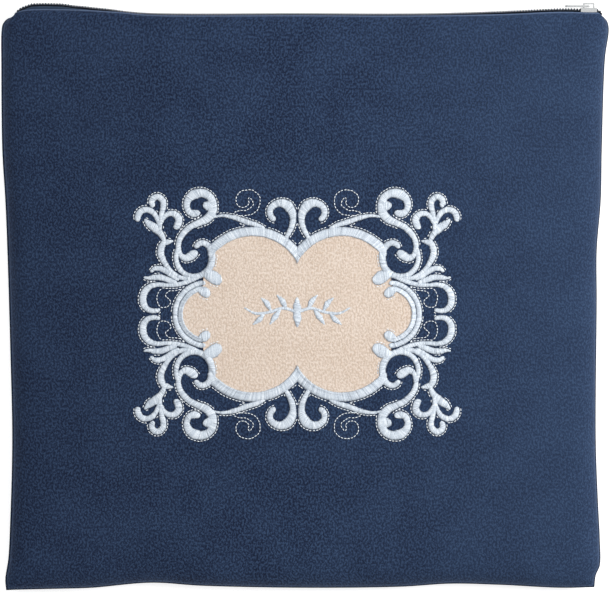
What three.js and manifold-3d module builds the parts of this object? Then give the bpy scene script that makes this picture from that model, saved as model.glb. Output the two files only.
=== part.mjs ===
// A zipped bag for a prayer shawl, lying on its back with its embroidered front up.
// Millimetres. X runs across the bag, Y towards the zipped top edge and Z up. The
// origin is the middle of the bag's box, on the surface that the bag lies on.

import * as THREE from 'three';
import { mergeVertices } from 'three/addons/utils/BufferGeometryUtils.js';
import Module from 'manifold-3d';

const wasm = await Module();
wasm.setup();

// The bag
const bagWidth = 360;
const bagHeight = 349;
const wall = 1.5;
const seamHeight = 9;
const clearance = 0.3;
const rollWidth = 4;
const frontRoll = 6;
const frontCrown = 11;
const backRoll = 6;
const backCrown = 9;
const crownPower = 0.6;
const panelSteps = 18;

// The zipper
const zipperHalfOpening = 4.6;
const zipperEndRamp = 2;
const zipperEndInset = 9;
const chainBulge = 4.1;
const coilThickness = 1.8;
const coilWidth = 2.8;
const tapeThickness = 1;
const tapeUnderCoil = 1.4;
const tapeInside = 8;
const chainSteps = 30;

// The slider and its pull
const sliderLength = 9.6;
const sliderWidth = 8;
const sliderPlate = 1;
const sliderFromEnd = 9.6;
const neckLength = 2.4;
const neckWidth = 1.6;
const archSpan = 7;
const archOpening = 2;
const archBar = 1;
const archWidth = 1.6;
const pullLength = 15;
const pullWidth = 5.2;
const pullThickness = 1.2;
const pullEyeLength = 4;
const pullEyeWidth = 2.4;

// The embroidery, charted on a square grid: the tables below count its cells
const chartCell = 0.593;
const embroideryLeft = 4.8;
const embroideryBelow = 10.5;
const satinHeight = 1.2;
const borderHeight = 1.6;
const satinShoulder = 0.62;
const appliqueThickness = 1;
const strokeStepCells = 9;
const appliqueSpokes = 60;

// Corners of the cloth, as insets from the bag's box: shares of its width and height
const corners = {
  bottomLeft: { side: 0.008, end: 0.001 },
  bottomRight: { side: 0.023, end: 0.008 },
  topLeft: { side: 0.008, end: 0.0255 },
  topRight: { side: 0.006, end: 0.024 },
};

// Edges of the cloth between its corners. along: share of the way from the left or
// the bottom side of the box. inset: share of the box, inward from its nearest side.
const bottomEdge = [
  { along: 0.025, inset: 0.0017 },
  { along: 0.097, inset: 0.0034 },
  { along: 0.147, inset: 0.005 },
  { along: 0.245, inset: 0.0136 },
  { along: 0.328, inset: 0.0085 },
  { along: 0.493, inset: 0.005 },
  { along: 0.657, inset: 0.0068 },
  { along: 0.74, inset: 0.012 },
  { along: 0.822, inset: 0.01 },
  { along: 0.921, inset: 0.005 },
];
const topEdge = [
  { along: 0.018, inset: 0.021 },
  { along: 0.04, inset: 0.016 },
  { along: 0.072, inset: 0.0127 },
  { along: 0.122, inset: 0.016 },
  { along: 0.18, inset: 0.0178 },
  { along: 0.245, inset: 0.022 },
  { along: 0.493, inset: 0.0212 },
  { along: 0.657, inset: 0.022 },
  { along: 0.822, inset: 0.0195 },
  { along: 0.921, inset: 0.0153 },
  { along: 0.97, inset: 0.0175 },
];
const leftEdge = [
  { along: 0.019, inset: 0.0066 },
  { along: 0.053, inset: 0.0115 },
  { along: 0.12, inset: 0.0148 },
  { along: 0.256, inset: 0.018 },
  { along: 0.409, inset: 0.0148 },
  { along: 0.579, inset: 0.01 },
  { along: 0.664, inset: 0.0066 },
  { along: 0.749, inset: 0.0016 },
  { along: 0.9, inset: 0 },
  { along: 0.952, inset: 0 },
];
const rightEdge = [
  { along: 0.0255, inset: 0.0214 },
  { along: 0.042, inset: 0.0148 },
  { along: 0.087, inset: 0.0148 },
  { along: 0.154, inset: 0.018 },
  { along: 0.256, inset: 0.0214 },
  { along: 0.494, inset: 0.0198 },
  { along: 0.579, inset: 0.0198 },
  { along: 0.664, inset: 0.0132 },
  { along: 0.749, inset: 0.0115 },
  { along: 0.868, inset: 0.0082 },
  { along: 0.91, inset: 0.0058 },
  { along: 0.952, inset: 0 },
];

// How far the chain stands out past the folded cloth. along: share of the top edge.
// proud: share of chainBulge.
const chainProud = [
  { along: 0, proud: 0.2 },
  { along: 0.03, proud: 0.85 },
  { along: 0.065, proud: 1 },
  { along: 0.11, proud: 0.9 },
  { along: 0.19, proud: 0.55 },
  { along: 0.25, proud: 0.22 },
  { along: 0.7, proud: 0.22 },
  { along: 0.86, proud: 0.37 },
  { along: 1, proud: 0.37 },
];

// Strokes of the scrollwork's top left quarter: cells out from the middle, cells up
// from it, and width in cells. The other quarters mirror them.
const scrollStrokes = [
  // Big scroll, from its inner bud round to its curled head
  [
    [105.5, 59, 9], [111.5, 56, 6], [117, 59, 5], [119.5, 70.5, 5], [117, 80, 5],
    [111.5, 86, 5], [99.5, 90.5, 5], [91.5, 95, 6], [86, 100.5, 8], [84.5, 110, 8],
    [87.5, 118, 7], [95.5, 122, 9], [104.5, 120.5, 8], [111.5, 114, 6],
    [111.5, 106, 5.5], [106.5, 100.5, 5.5], [101, 101.5, 5], [99.5, 104.5, 4],
  ],
  // Bump inside the head of the big scroll
  [[84, 106, 5], [89, 107.5, 8], [92.5, 108.5, 6]],
  // Leaf that runs down to the border
  [
    [84.5, 97, 2], [74.5, 98.5, 3], [63, 96.5, 4.5], [51.5, 92.5, 5], [40, 89, 4],
    [32, 85.5, 3],
  ],
  // Middle volute
  [
    [13, 77, 4], [6.5, 84, 4.5], [4, 91, 5.5], [3.5, 95.5, 6], [4.8, 101.5, 8],
    [8.5, 107.5, 10], [15, 111, 7.5], [22, 110, 6], [26.5, 106, 5.5],
    [27.5, 101.5, 5], [25.5, 96.5, 5], [21, 96, 4],
  ],
  // Corner fleuron: top loop, left petal, right petal, stem leaf and thorn
  [
    [137, 82, 5], [136, 94, 4], [134.5, 102, 5], [133, 108.5, 5.5], [134.5, 115, 5],
    [139, 119, 5], [144, 117.5, 5.5], [146.5, 112.5, 6.5], [144, 107, 3],
  ],
  [
    [136.5, 90, 4], [141.5, 99, 4], [147.5, 103, 4.5], [154, 103, 5],
    [158.5, 100, 6], [159.5, 94.5, 4],
  ],
  [
    [135.5, 96, 4], [131, 99, 6], [126, 101, 6.5], [121, 100, 5.5], [118, 95, 5],
    [118, 90, 5], [121, 86, 4], [123.5, 86.5, 3],
  ],
  [[152.5, 94.5, 1.5], [147, 89.5, 7], [141.5, 85, 8], [136.5, 81, 6], [132, 72, 4]],
  [[134, 72, 5.5], [124, 72, 1]],
  // Stem from the fleuron down to the ring
  [
    [132, 74, 5], [136, 67.5, 6.5], [136.5, 62.5, 6.5], [135, 56.5, 5.5],
    [132, 51, 5], [129.5, 46.5, 4.5], [124.5, 40.5, 5], [116.5, 36, 5],
    [104.5, 35, 4.5],
  ],
  // Leaf spray at the side
  [
    [146, 42, 2.5], [142, 46, 4.5], [136.5, 46.5, 5], [130, 44, 5],
    [124.5, 39.5, 4], [118, 35, 3],
  ],
  [
    [153, 37, 1.5], [148, 35, 4], [141.5, 36, 5], [134.5, 36.5, 6],
    [127.5, 35.5, 5.5], [120, 30.5, 3.5],
  ],
  // Scroll that curls in beside the small lobe
  [
    [91, 36.5, 4], [104.5, 33, 5], [113, 30, 5], [122, 28.5, 4], [131, 28.5, 3.5],
    [139, 29, 4], [146, 27, 4.5], [151, 22, 5], [153.5, 16.5, 5], [153, 9.5, 5],
    [149, 4.5, 5.5], [144, 3.2, 5], [139, 5, 3], [138, 7.5, 1.5],
  ],
  // Teardrop bud and round bud at the end of the small lobe's border
  [[92, 34.5, 6], [84, 35.5, 10], [77, 36, 12], [71.5, 36, 7]],
  [[96.5, 21.5, 8], [91.5, 20, 9], [87.5, 18.5, 7]],
];

// Strokes along arcs: centre, radius and width in cells, angles in degrees from the
// outward direction, counted towards the top
const scrollArcs = [
  { name: 'big lobe', out: 44.5, up: 28, radius: 54.5, from: 150, to: 40, width: 9.5 },
  { name: 'ring', out: 104.5, up: 54, radius: 17.3, from: 112, to: 403, width: 5.8 },
  { name: 'inner band', out: 90.5, up: 0, radius: 26.3, from: -4, to: 84, width: 5 },
  { name: 'outer band', out: 90.5, up: 0, radius: 31.4, from: -4, to: 92, width: 5.4 },
];

// Lobes of the patch: middle of each arc and the radius of the border's inner edge
const patchLobes = [
  { out: 44.5, up: 28, radius: 49.7 },
  { out: 90.5, up: 0, radius: 23.8 },
];

// Right half of the leaf sprig on the patch, from the middle outward, as
// [out, up, width] in cells. The left half mirrors it.
const sprigStrokes = [
  [[0, 2, 3], [14, 6, 2.8], [28, 2, 2.6], [42, 1, 2.4], [52, 6, 1.2]],
  [[11, 5, 2], [14, 12, 5], [20, 18, 1]],
  [[17, 5, 2], [22, -2, 5], [27, -9, 1]],
  [[26, 3, 2], [30, 10, 5], [36, 15, 1]],
  [[33, 1, 2], [38, -5, 4.5], [44, -9, 1]],
  [[0, 0, 8], [0, 7, 8], [0, 15, 1.5]],
  [[0, 4, 8], [0, -3, 8], [0, -11, 1.5]],
];

// Small sums

function smoothStep(share) {
  const held = Math.min(Math.max(share, 0), 1);
  return held * held * (3 - 2 * held);
}

function readTable(rows, along, column) {
  let next = rows.findIndex((row) => row.along >= along);
  next = next < 1 ? 1 : next;
  const before = rows[next - 1];
  const after = rows[next];
  const share = smoothStep((along - before.along) / (after.along - before.along));
  return before[column] + (after[column] - before[column]) * share;
}

// Outline of the cloth, seen from above

function cornerPoint(corner, sideSign, endSign) {
  return new THREE.Vector3(
    sideSign * bagWidth * (0.5 - corner.side),
    endSign * bagHeight * (0.5 - corner.end),
    0,
  );
}

const cornerPoints = {
  bottomLeft: cornerPoint(corners.bottomLeft, -1, -1),
  bottomRight: cornerPoint(corners.bottomRight, 1, -1),
  topLeft: cornerPoint(corners.topLeft, -1, 1),
  topRight: cornerPoint(corners.topRight, 1, 1),
};

function levelEdge(from, rows, to, endSign) {
  const between = rows.map((row) => new THREE.Vector3(
    bagWidth * (row.along - 0.5),
    endSign * bagHeight * (0.5 - row.inset),
    0,
  ));
  return new THREE.CatmullRomCurve3([from, ...between, to], false, 'centripetal');
}

function uprightEdge(from, rows, to, sideSign) {
  const between = rows.map((row) => new THREE.Vector3(
    sideSign * bagWidth * (0.5 - row.inset),
    bagHeight * (row.along - 0.5),
    0,
  ));
  return new THREE.CatmullRomCurve3([from, ...between, to], false, 'centripetal');
}

const edges = {
  bottom: levelEdge(cornerPoints.bottomLeft, bottomEdge, cornerPoints.bottomRight, -1),
  top: levelEdge(cornerPoints.topLeft, topEdge, cornerPoints.topRight, 1),
  left: uprightEdge(cornerPoints.bottomLeft, leftEdge, cornerPoints.topLeft, -1),
  right: uprightEdge(cornerPoints.bottomRight, rightEdge, cornerPoints.topRight, 1),
};

// A point of the cloth by its shares: u from left to right, v from bottom to top
function clothPoint(u, v) {
  const level = edges.bottom.getPointAt(u).multiplyScalar(1 - v);
  level.addScaledVector(edges.top.getPointAt(u), v);
  const upright = edges.left.getPointAt(v).multiplyScalar(1 - u);
  upright.addScaledVector(edges.right.getPointAt(v), u);
  const corner = cornerPoints.bottomLeft.clone().multiplyScalar((1 - u) * (1 - v));
  corner.addScaledVector(cornerPoints.bottomRight, u * (1 - v));
  corner.addScaledVector(cornerPoints.topLeft, (1 - u) * v);
  corner.addScaledVector(cornerPoints.topRight, u * v);
  return level.add(upright).sub(corner);
}

function clothShares(x, y) {
  const passes = 4;
  const shares = { u: 0.5 + x / bagWidth, v: 0.5 + y / bagHeight };
  for (let pass = 0; pass < passes; pass += 1) {
    const reached = clothPoint(shares.u, shares.v);
    shares.u = Math.min(Math.max(shares.u + (x - reached.x) / bagWidth, 0), 1);
    shares.v = Math.min(Math.max(shares.v + (y - reached.y) / bagHeight, 0), 1);
  }
  return shares;
}

// Height of a panel above its seam: it turns over at its edges and crowns in the middle
function panelRise(u, v, roll, crown) {
  const fromSide = Math.min(u, 1 - u) * bagWidth;
  const fromBottom = v * bagHeight;
  const fromTop = (1 - v) * bagHeight;
  const opening = zipperHalfOpening * smoothStep(fromSide / zipperEndRamp);
  const sideTurn = 1 - Math.exp(-fromSide / rollWidth);
  const bottomTurn = 1 - Math.exp(-fromBottom / rollWidth);
  const topStart = Math.exp(-fromTop / rollWidth);
  const dome = (16 * u * (1 - u) * v * (1 - v)) ** crownPower;
  return opening * topStart + roll * sideTurn * bottomTurn * (1 - topStart) + crown * dome;
}

const frontSeam = seamHeight + clearance / 2;
const backSeam = seamHeight - clearance / 2;

function frontHeight(x, y) {
  const shares = clothShares(x, y);
  return frontSeam + panelRise(shares.u, shares.v, frontRoll, frontCrown);
}

// Geometry from points and triangles

function solidFrom(points, triangles) {
  const geometry = new THREE.BufferGeometry();
  const places = points.flatMap((point) => [point.x, point.y, point.z]);
  geometry.setAttribute('position', new THREE.Float32BufferAttribute(places, 3));
  geometry.setIndex(triangles.flat());
  return geometry;
}

// Two like grids of points, joined round their rim. The first faces out upward.
function gridShell(upper, lower, columns, rows) {
  const across = columns + 1;
  const count = across * (rows + 1);
  const triangles = [];
  const at = (column, row) => row * across + column;
  for (let row = 0; row < rows; row += 1) {
    for (let column = 0; column < columns; column += 1) {
      const a = at(column, row);
      const b = at(column + 1, row);
      const c = at(column + 1, row + 1);
      const d = at(column, row + 1);
      triangles.push([a, b, c], [a, c, d]);
      triangles.push([count + a, count + c, count + b], [count + a, count + d, count + c]);
    }
  }
  const rim = [];
  for (let column = 0; column < columns; column += 1) rim.push(at(column, 0));
  for (let row = 0; row < rows; row += 1) rim.push(at(columns, row));
  for (let column = columns; column > 0; column -= 1) rim.push(at(column, rows));
  for (let row = rows; row > 0; row -= 1) rim.push(at(0, row));
  rim.forEach((here, index) => {
    const next = rim[(index + 1) % rim.length];
    triangles.push([next, here, count + here], [next, count + here, count + next]);
  });
  return solidFrom([...upper, ...lower], triangles);
}

// Rings of the same number of points, joined along and closed at both ends. Each ring
// is a near row of points and a far row that faces it.
function loftedBand(sections) {
  const size = sections[0].near.length;
  const round = 2 * size;
  const points = sections.flatMap(({ near, far }) => [...near, ...[...far].reverse()]);
  const triangles = [];
  for (let section = 0; section < sections.length - 1; section += 1) {
    for (let step = 0; step < round; step += 1) {
      const a = section * round + step;
      const b = section * round + ((step + 1) % round);
      triangles.push([a, b, b + round], [a, b + round, a + round]);
    }
  }
  const last = (sections.length - 1) * round;
  for (let step = 0; step < size - 1; step += 1) {
    const a = step;
    const b = step + 1;
    const c = round - 2 - step;
    const d = round - 1 - step;
    triangles.push([a, c, b], [a, d, c]);
    triangles.push([last + a, last + b, last + c], [last + a, last + c, last + d]);
  }
  return solidFrom(points, triangles);
}

// Joins and cuts

function toManifold(geometry) {
  const bare = geometry.clone();
  bare.deleteAttribute('normal');
  bare.deleteAttribute('uv');
  const merged = mergeVertices(bare, 1e-4);
  return new wasm.Manifold(new wasm.Mesh({
    numProp: 3,
    vertProperties: new Float32Array(merged.attributes.position.array),
    triVerts: new Uint32Array(merged.index.array),
  }));
}

function toGeometry(manifold) {
  const mesh = manifold.getMesh();
  const geometry = new THREE.BufferGeometry();
  const places = new THREE.Float32BufferAttribute(mesh.vertProperties, 3);
  geometry.setAttribute('position', places);
  geometry.setIndex([...mesh.triVerts]);
  return geometry;
}

function joined(geometries) {
  return geometries.map(toManifold).reduce((whole, next) => whole.add(next));
}

function boxSolid(from, to) {
  const size = new THREE.Vector3().subVectors(to, from);
  const middle = new THREE.Vector3().addVectors(from, to).multiplyScalar(0.5);
  return new THREE.BoxGeometry(size.x, size.y, size.z).translate(middle.x, middle.y, middle.z);
}

// The two panels, each an outer and an inner grid with its rows crowded at the edges

function panelShape({ roll, crown, seam, side, deepest }) {
  const surface = (inset, rise, most) => {
    const points = [];
    for (let row = 0; row <= panelSteps; row += 1) {
      for (let column = 0; column <= panelSteps; column += 1) {
        const u = 0.5 - 0.5 * Math.cos((Math.PI * column) / panelSteps);
        const v = 0.5 - 0.5 * Math.cos((Math.PI * row) / panelSteps);
        const edgeU = inset / bagWidth + u * (1 - (2 * inset) / bagWidth);
        const edgeV = inset / bagHeight + v * (1 - (2 * inset) / bagHeight);
        const point = clothPoint(edgeU, edgeV);
        point.z = seam + side * Math.min(panelRise(u, v, rise, crown), most);
        points.push(point);
      }
    }
    return points;
  };
  const outer = surface(0, roll, deepest);
  const inner = surface(wall, roll - wall, deepest - wall);
  const upper = side > 0 ? outer : inner;
  const lower = side > 0 ? inner : outer;
  return gridShell(upper, lower, panelSteps, panelSteps);
}

function frontPanel() {
  const deepest = frontRoll + frontCrown;
  return panelShape({ roll: frontRoll, crown: frontCrown, seam: frontSeam, side: 1, deepest });
}

function backPanel() {
  const deepest = backSeam;
  return panelShape({ roll: backRoll, crown: backCrown, seam: backSeam, side: -1, deepest });
}

// Embroidery: made flat in cells out from and up from its middle, then laid on the cloth

function strokeBand(curve, widthAt, height, spread) {
  const length = curve.getLength();
  const steps = Math.max(2, Math.ceil(length / strokeStepCells));
  const sections = [];
  for (let step = 0; step <= steps; step += 1) {
    const share = step / steps;
    const middle = curve.getPointAt(share);
    const along = curve.getTangentAt(share);
    const across = new THREE.Vector3(-along.y, along.x, 0);
    const half = widthAt(share) / 2 + spread;
    const foot = across.clone().multiplyScalar(half);
    const crest = across.clone().multiplyScalar(half * satinShoulder);
    crest.z = height / chartCell;
    const otherCrest = new THREE.Vector3(-crest.x, -crest.y, crest.z);
    sections.push({
      near: [middle.clone().add(foot), middle.clone().add(crest)],
      far: [middle.clone().sub(foot), middle.clone().add(otherCrest)],
    });
  }
  return loftedBand(sections);
}

function tableStroke(rows, height, spread = 0) {
  const points = rows.map(([out, up]) => new THREE.Vector3(out, up, 0));
  const curve = new THREE.CatmullRomCurve3(points, false, 'centripetal');
  const widthAt = (share) => {
    const place = curve.getUtoTmapping(share) * (rows.length - 1);
    const row = Math.min(Math.floor(place), rows.length - 2);
    return THREE.MathUtils.lerp(rows[row][2], rows[row + 1][2], place - row);
  };
  return strokeBand(curve, widthAt, height, spread);
}

function arcStroke({ out, up, radius, from, to, width }, height, spread = 0) {
  const toRadians = THREE.MathUtils.degToRad;
  const rows = [];
  const turn = to - from;
  const steps = Math.ceil((toRadians(Math.abs(turn)) * radius) / strokeStepCells);
  for (let step = 0; step <= steps; step += 1) {
    const angle = toRadians(from + (turn * step) / steps);
    rows.push([out + radius * Math.cos(angle), up + radius * Math.sin(angle), width]);
  }
  return tableStroke(rows, height, spread);
}

// Keeps what lies past the mirror lines, less half of the gap between two quarters
function quarterOnly(manifold) {
  const reach = bagWidth;
  const edge = clearance / 2 / chartCell;
  const from = new THREE.Vector3(edge, edge, -reach);
  const to = new THREE.Vector3(reach, reach, reach);
  return manifold.intersect(toManifold(boxSolid(from, to)));
}

function scrollQuarter(spread, extraHeight) {
  const strokes = scrollStrokes.map((rows) => (
    tableStroke(rows, satinHeight + extraHeight, spread)
  ));
  const arcs = scrollArcs.map((arc) => arcStroke(arc, borderHeight + extraHeight, spread));
  return joined([...strokes, ...arcs]);
}

// Lays a flat shape on the front panel: lift is its height over the cloth
function laidOnFront(flat, lift, outSign, upSign) {
  const geometry = toGeometry(flat);
  const places = geometry.attributes.position;
  for (let index = 0; index < places.count; index += 1) {
    const x = -outSign * places.getX(index) * chartCell - embroideryLeft;
    const y = upSign * places.getY(index) * chartCell - embroideryBelow;
    const z = frontHeight(x, y) + lift + places.getZ(index) * chartCell;
    places.setXYZ(index, x, y, z);
  }
  if (outSign * upSign > 0) turnOver(geometry);
  return geometry;
}

// A mirrored mesh faces inward until its triangles are turned over
function turnOver(geometry) {
  const index = geometry.index.array;
  for (let corner = 0; corner < index.length; corner += 3) {
    const second = index[corner + 1];
    index[corner + 1] = index[corner + 2];
    index[corner + 2] = second;
  }
}

// How far the patch reaches from its middle along an angle
function patchReach(angle) {
  const out = Math.abs(Math.cos(angle));
  const up = Math.abs(Math.sin(angle));
  const inset = clearance / chartCell;
  const reaches = patchLobes.map((lobe) => {
    const along = out * lobe.out + up * lobe.up;
    const radius = lobe.radius - inset;
    const spare = along ** 2 - (lobe.out ** 2 + lobe.up ** 2 - radius ** 2);
    return spare > 0 ? along + Math.sqrt(spare) : 0;
  });
  return Math.max(...reaches);
}

function flatPatch() {
  const rings = [0.35, 0.7, 1];
  const top = appliqueThickness / chartCell;
  const sheet = (height) => {
    const points = [new THREE.Vector3(0, 0, height)];
    rings.forEach((ring) => {
      for (let spoke = 0; spoke < appliqueSpokes; spoke += 1) {
        const angle = (2 * Math.PI * spoke) / appliqueSpokes;
        const reach = ring * patchReach(angle);
        const place = [reach * Math.cos(angle), reach * Math.sin(angle), height];
        points.push(new THREE.Vector3(...place));
      }
    });
    return points;
  };
  const count = 1 + rings.length * appliqueSpokes;
  const triangles = [];
  const at = (ring, spoke) => 1 + ring * appliqueSpokes + (spoke % appliqueSpokes);
  for (let spoke = 0; spoke < appliqueSpokes; spoke += 1) {
    triangles.push([0, at(0, spoke), at(0, spoke + 1)]);
    triangles.push([count, count + at(0, spoke + 1), count + at(0, spoke)]);
    for (let ring = 1; ring < rings.length; ring += 1) {
      const [a, b] = [at(ring - 1, spoke), at(ring, spoke)];
      const [c, d] = [at(ring, spoke + 1), at(ring - 1, spoke + 1)];
      triangles.push([a, b, c], [a, c, d]);
      triangles.push([count + a, count + c, count + b], [count + a, count + d, count + c]);
    }
    const [a, b] = [at(rings.length - 1, spoke), at(rings.length - 1, spoke + 1)];
    triangles.push([b, a, count + a], [b, count + a, count + b]);
  }
  return toManifold(solidFrom([...sheet(top), ...sheet(0)], triangles));
}

function appliquePanel() {
  const cutter = scrollQuarter(clearance / chartCell, appliqueThickness);
  const sink = new THREE.Vector3(0, 0, -clearance / chartCell);
  const lowered = cutter.translate([sink.x, sink.y, sink.z]);
  const cut = [[1, 1], [-1, 1], [1, -1], [-1, -1]].reduce(
    (patch, [outSign, upSign]) => patch.subtract(lowered.scale([outSign, upSign, 1])),
    flatPatch(),
  );
  const pieces = cut.decompose();
  const largest = pieces.reduce((best, piece) => (
    piece.volume() > best.volume() ? piece : best
  ));
  return laidOnFront(largest, clearance, 1, 1);
}

function scrollPiece(outSign, upSign) {
  const quarter = quarterOnly(scrollQuarter(0, 0));
  return laidOnFront(quarter, clearance, outSign, upSign);
}

function centreSprig() {
  const half = joined(sprigStrokes.map((rows) => tableStroke(rows, satinHeight)));
  const whole = half.add(half.scale([-1, 1, 1]));
  return laidOnFront(whole, appliqueThickness + 2 * clearance, 1, 1);
}

// Zipper: the chain stands on edge along the top, its width along Z

function chainPoint(along) {
  const point = edges.top.getPointAt(along);
  point.y += chainBulge * readTable(chainProud, along, 'proud');
  return point;
}

function chainShares(fromEnd, toEnd) {
  const length = edges.top.getLength();
  const first = fromEnd / length;
  const last = 1 - toEnd / length;
  return Array.from({ length: chainSteps + 1 }, (_, step) => (
    first + ((last - first) * step) / chainSteps
  ));
}

// A strip along the chain. rows give the places of its two faces beside the chain's
// outer face: outward along Y, and away from the seam's height along Z.
function chainStrip(shares, side, facesAt) {
  const sections = shares.map((along) => {
    const origin = chainPoint(along);
    const place = ([outward, away]) => new THREE.Vector3(
      origin.x,
      origin.y + outward,
      seamHeight + side * away,
    );
    const { near, far } = facesAt(along, origin);
    return { near: near.map(place), far: far.map(place) };
  });
  const strip = loftedBand(sections);
  if (side > 0) turnOver(strip);
  return strip;
}

function coilStrip(side) {
  const shares = chainShares(zipperEndInset, sliderFromEnd + neckLength);
  const low = clearance / 2;
  const high = low + coilWidth;
  const chamfer = coilThickness / 4;
  return chainStrip(shares, side, () => ({
    near: [
      [-coilThickness, low],
      [-coilThickness, high - chamfer],
      [chamfer - coilThickness, high],
    ],
    far: [[0, low], [0, high - chamfer], [-chamfer, high]],
  }));
}

function tapeStrip(side) {
  const shares = chainShares(zipperEndInset, zipperEndInset);
  const inner = clearance + tapeThickness;
  return chainStrip(shares, side, (along, origin) => {
    const cloth = edges.top.getPointAt(along);
    const fold = cloth.y - origin.y - wall;
    const face = -coilThickness - clearance;
    const inside = fold - tapeInside;
    const shares = clothShares(origin.x, cloth.y - wall - tapeInside);
    const roll = (side > 0 ? frontRoll : backRoll) - wall;
    const crown = side > 0 ? frontCrown : backCrown;
    const slack = 2 * clearance;
    const risen = panelRise(shares.u, shares.v, roll, crown);
    const most = side > 0 ? risen : backSeam - wall;
    const ceiling = Math.min(risen, most) - slack;
    const bend = zipperHalfOpening - 1.5 * clearance;
    return {
      near: [
        [face - tapeThickness, tapeUnderCoil],
        [face - tapeThickness, bend - tapeThickness],
        [fold - tapeThickness, bend - tapeThickness],
        [inside, ceiling - tapeThickness],
      ],
      far: [[face, tapeUnderCoil], [face, bend], [fold, bend], [inside, ceiling]],
    };
  });
}

// Slider and pull, made beside the chain's outer face at the slider's middle: X along
// the chain, Y outward, Z across it

const slidePoint = chainPoint(1 - sliderFromEnd / edges.top.getLength());
const plateFoot = 2 * clearance;
const plateTop = plateFoot + sliderPlate;
const tapeFace = -coilThickness - clearance;
const innerPlateTop = tapeFace - tapeThickness - 2 * clearance;
const pullAxisOut = plateTop + archOpening / 2;

function atSlider(geometry) {
  return geometry.translate(slidePoint.x, slidePoint.y, seamHeight);
}

function sliderBlock(alongFrom, alongTo, outFrom, outTo, width) {
  const from = new THREE.Vector3(alongFrom, outFrom, -width / 2);
  const to = new THREE.Vector3(alongTo, outTo, width / 2);
  return boxSolid(from, to);
}

function sliderPiece() {
  const half = sliderLength / 2;
  const flangeFoot = tapeFace + clearance;
  const grip = 2 * (coilWidth + 1.5 * clearance);
  const innerWidth = 2 * (zipperHalfOpening - 2 * clearance - tapeThickness);
  const shell = toManifold(sliderBlock(-half, half, flangeFoot, plateTop, sliderWidth));
  const channel = sliderBlock(-half - 1, half + 1, flangeFoot - 1, plateFoot, grip);
  const outer = shell.subtract(toManifold(channel));
  const innerPlate = sliderBlock(-half, half, innerPlateTop - sliderPlate, innerPlateTop, innerWidth);
  const neckStart = clearance;
  const neck = sliderBlock(
    neckStart,
    neckStart + neckLength,
    innerPlateTop - sliderPlate / 2,
    plateFoot + sliderPlate / 2,
    neckWidth,
  );
  const archTop = plateTop + archOpening + archBar;
  const archFoot = plateTop - sliderPlate / 2;
  const arch = toManifold(sliderBlock(-archSpan / 2, archSpan / 2, archFoot, archTop, archWidth));
  const hole = toManifold(sliderBlock(
    archBar - archSpan / 2,
    archSpan / 2 - archBar,
    plateTop,
    plateTop + archOpening,
    sliderWidth,
  ));
  const parts = joined([innerPlate, neck]).add(outer).add(arch.subtract(hole));
  return atSlider(toGeometry(parts));
}

function pullPiece() {
  const half = pullWidth / 2;
  const bar = pullThickness / 2;
  const tip = bar - pullLength;
  const outline = new THREE.Shape();
  outline.moveTo(bar, -half + bar);
  outline.lineTo(bar, half - bar);
  outline.lineTo(0, half);
  outline.lineTo(tip + half, half);
  outline.absarc(tip + half, 0, half, Math.PI / 2, (3 * Math.PI) / 2, false);
  outline.lineTo(0, -half);
  const eye = new THREE.Path();
  eye.moveTo(-bar, -pullEyeWidth / 2);
  eye.lineTo(-bar - pullEyeLength, -pullEyeWidth / 2);
  eye.lineTo(-bar - pullEyeLength, pullEyeWidth / 2);
  eye.lineTo(-bar, pullEyeWidth / 2);
  outline.holes.push(eye);
  const plate = new THREE.ExtrudeGeometry(outline, {
    depth: pullThickness,
    bevelEnabled: false,
    curveSegments: 10,
  });
  plate.translate(0, 0, -pullThickness / 2);
  plate.rotateX(Math.PI / 2);
  plate.translate(0, pullAxisOut, 0);
  return atSlider(plate);
}

// The assembled bag

const navyCloth = { color: 0x2b3953, roughness: 0.9, metalness: 0 };
const creamCloth = { color: 0xdccdc0, roughness: 0.9, metalness: 0 };
const silverThread = { color: 0xc4ccda, roughness: 0.45, metalness: 0 };
const navyTape = { color: 0x1c2f48, roughness: 0.8, metalness: 0 };
const navyCoil = { color: 0x0c1928, roughness: 0.4, metalness: 0 };
const nickel = { color: 0xc8c8c8, roughness: 0.3, metalness: 1 };

const group = new THREE.Group();

function addPiece(name, geometry, finish) {
  const mesh = new THREE.Mesh(geometry, new THREE.MeshStandardMaterial(finish));
  mesh.name = name;
  group.add(mesh);
}

addPiece('front_panel', frontPanel(), navyCloth);
addPiece('back_panel', backPanel(), navyCloth);
addPiece('applique_panel', appliquePanel(), creamCloth);
addPiece('scroll_top_left', scrollPiece(1, 1), silverThread);
addPiece('scroll_top_right', scrollPiece(-1, 1), silverThread);
addPiece('scroll_bottom_left', scrollPiece(1, -1), silverThread);
addPiece('scroll_bottom_right', scrollPiece(-1, -1), silverThread);
addPiece('centre_sprig', centreSprig(), silverThread);
addPiece('zipper_tape_front', tapeStrip(1), navyTape);
addPiece('zipper_tape_back', tapeStrip(-1), navyTape);
addPiece('zipper_coil_front', coilStrip(1), navyCoil);
addPiece('zipper_coil_back', coilStrip(-1), navyCoil);
addPiece('zipper_slider', sliderPiece(), nickel);
addPiece('zipper_pull', pullPiece(), nickel);

export default group;
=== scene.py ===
"""Dresses a zipped prayer-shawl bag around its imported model.

The classes hold lengths in millimetres, as a bag maker would give them, and the mesh
builder turns them to metres. X runs across the bag, Y towards its zipped edge, Z up.
"""

import logging
import math
from dataclasses import dataclass, field
from enum import Enum

import bpy
from bpy.types import Material, Node, NodeSocket, Object
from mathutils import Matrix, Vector
import numpy as np


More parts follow.
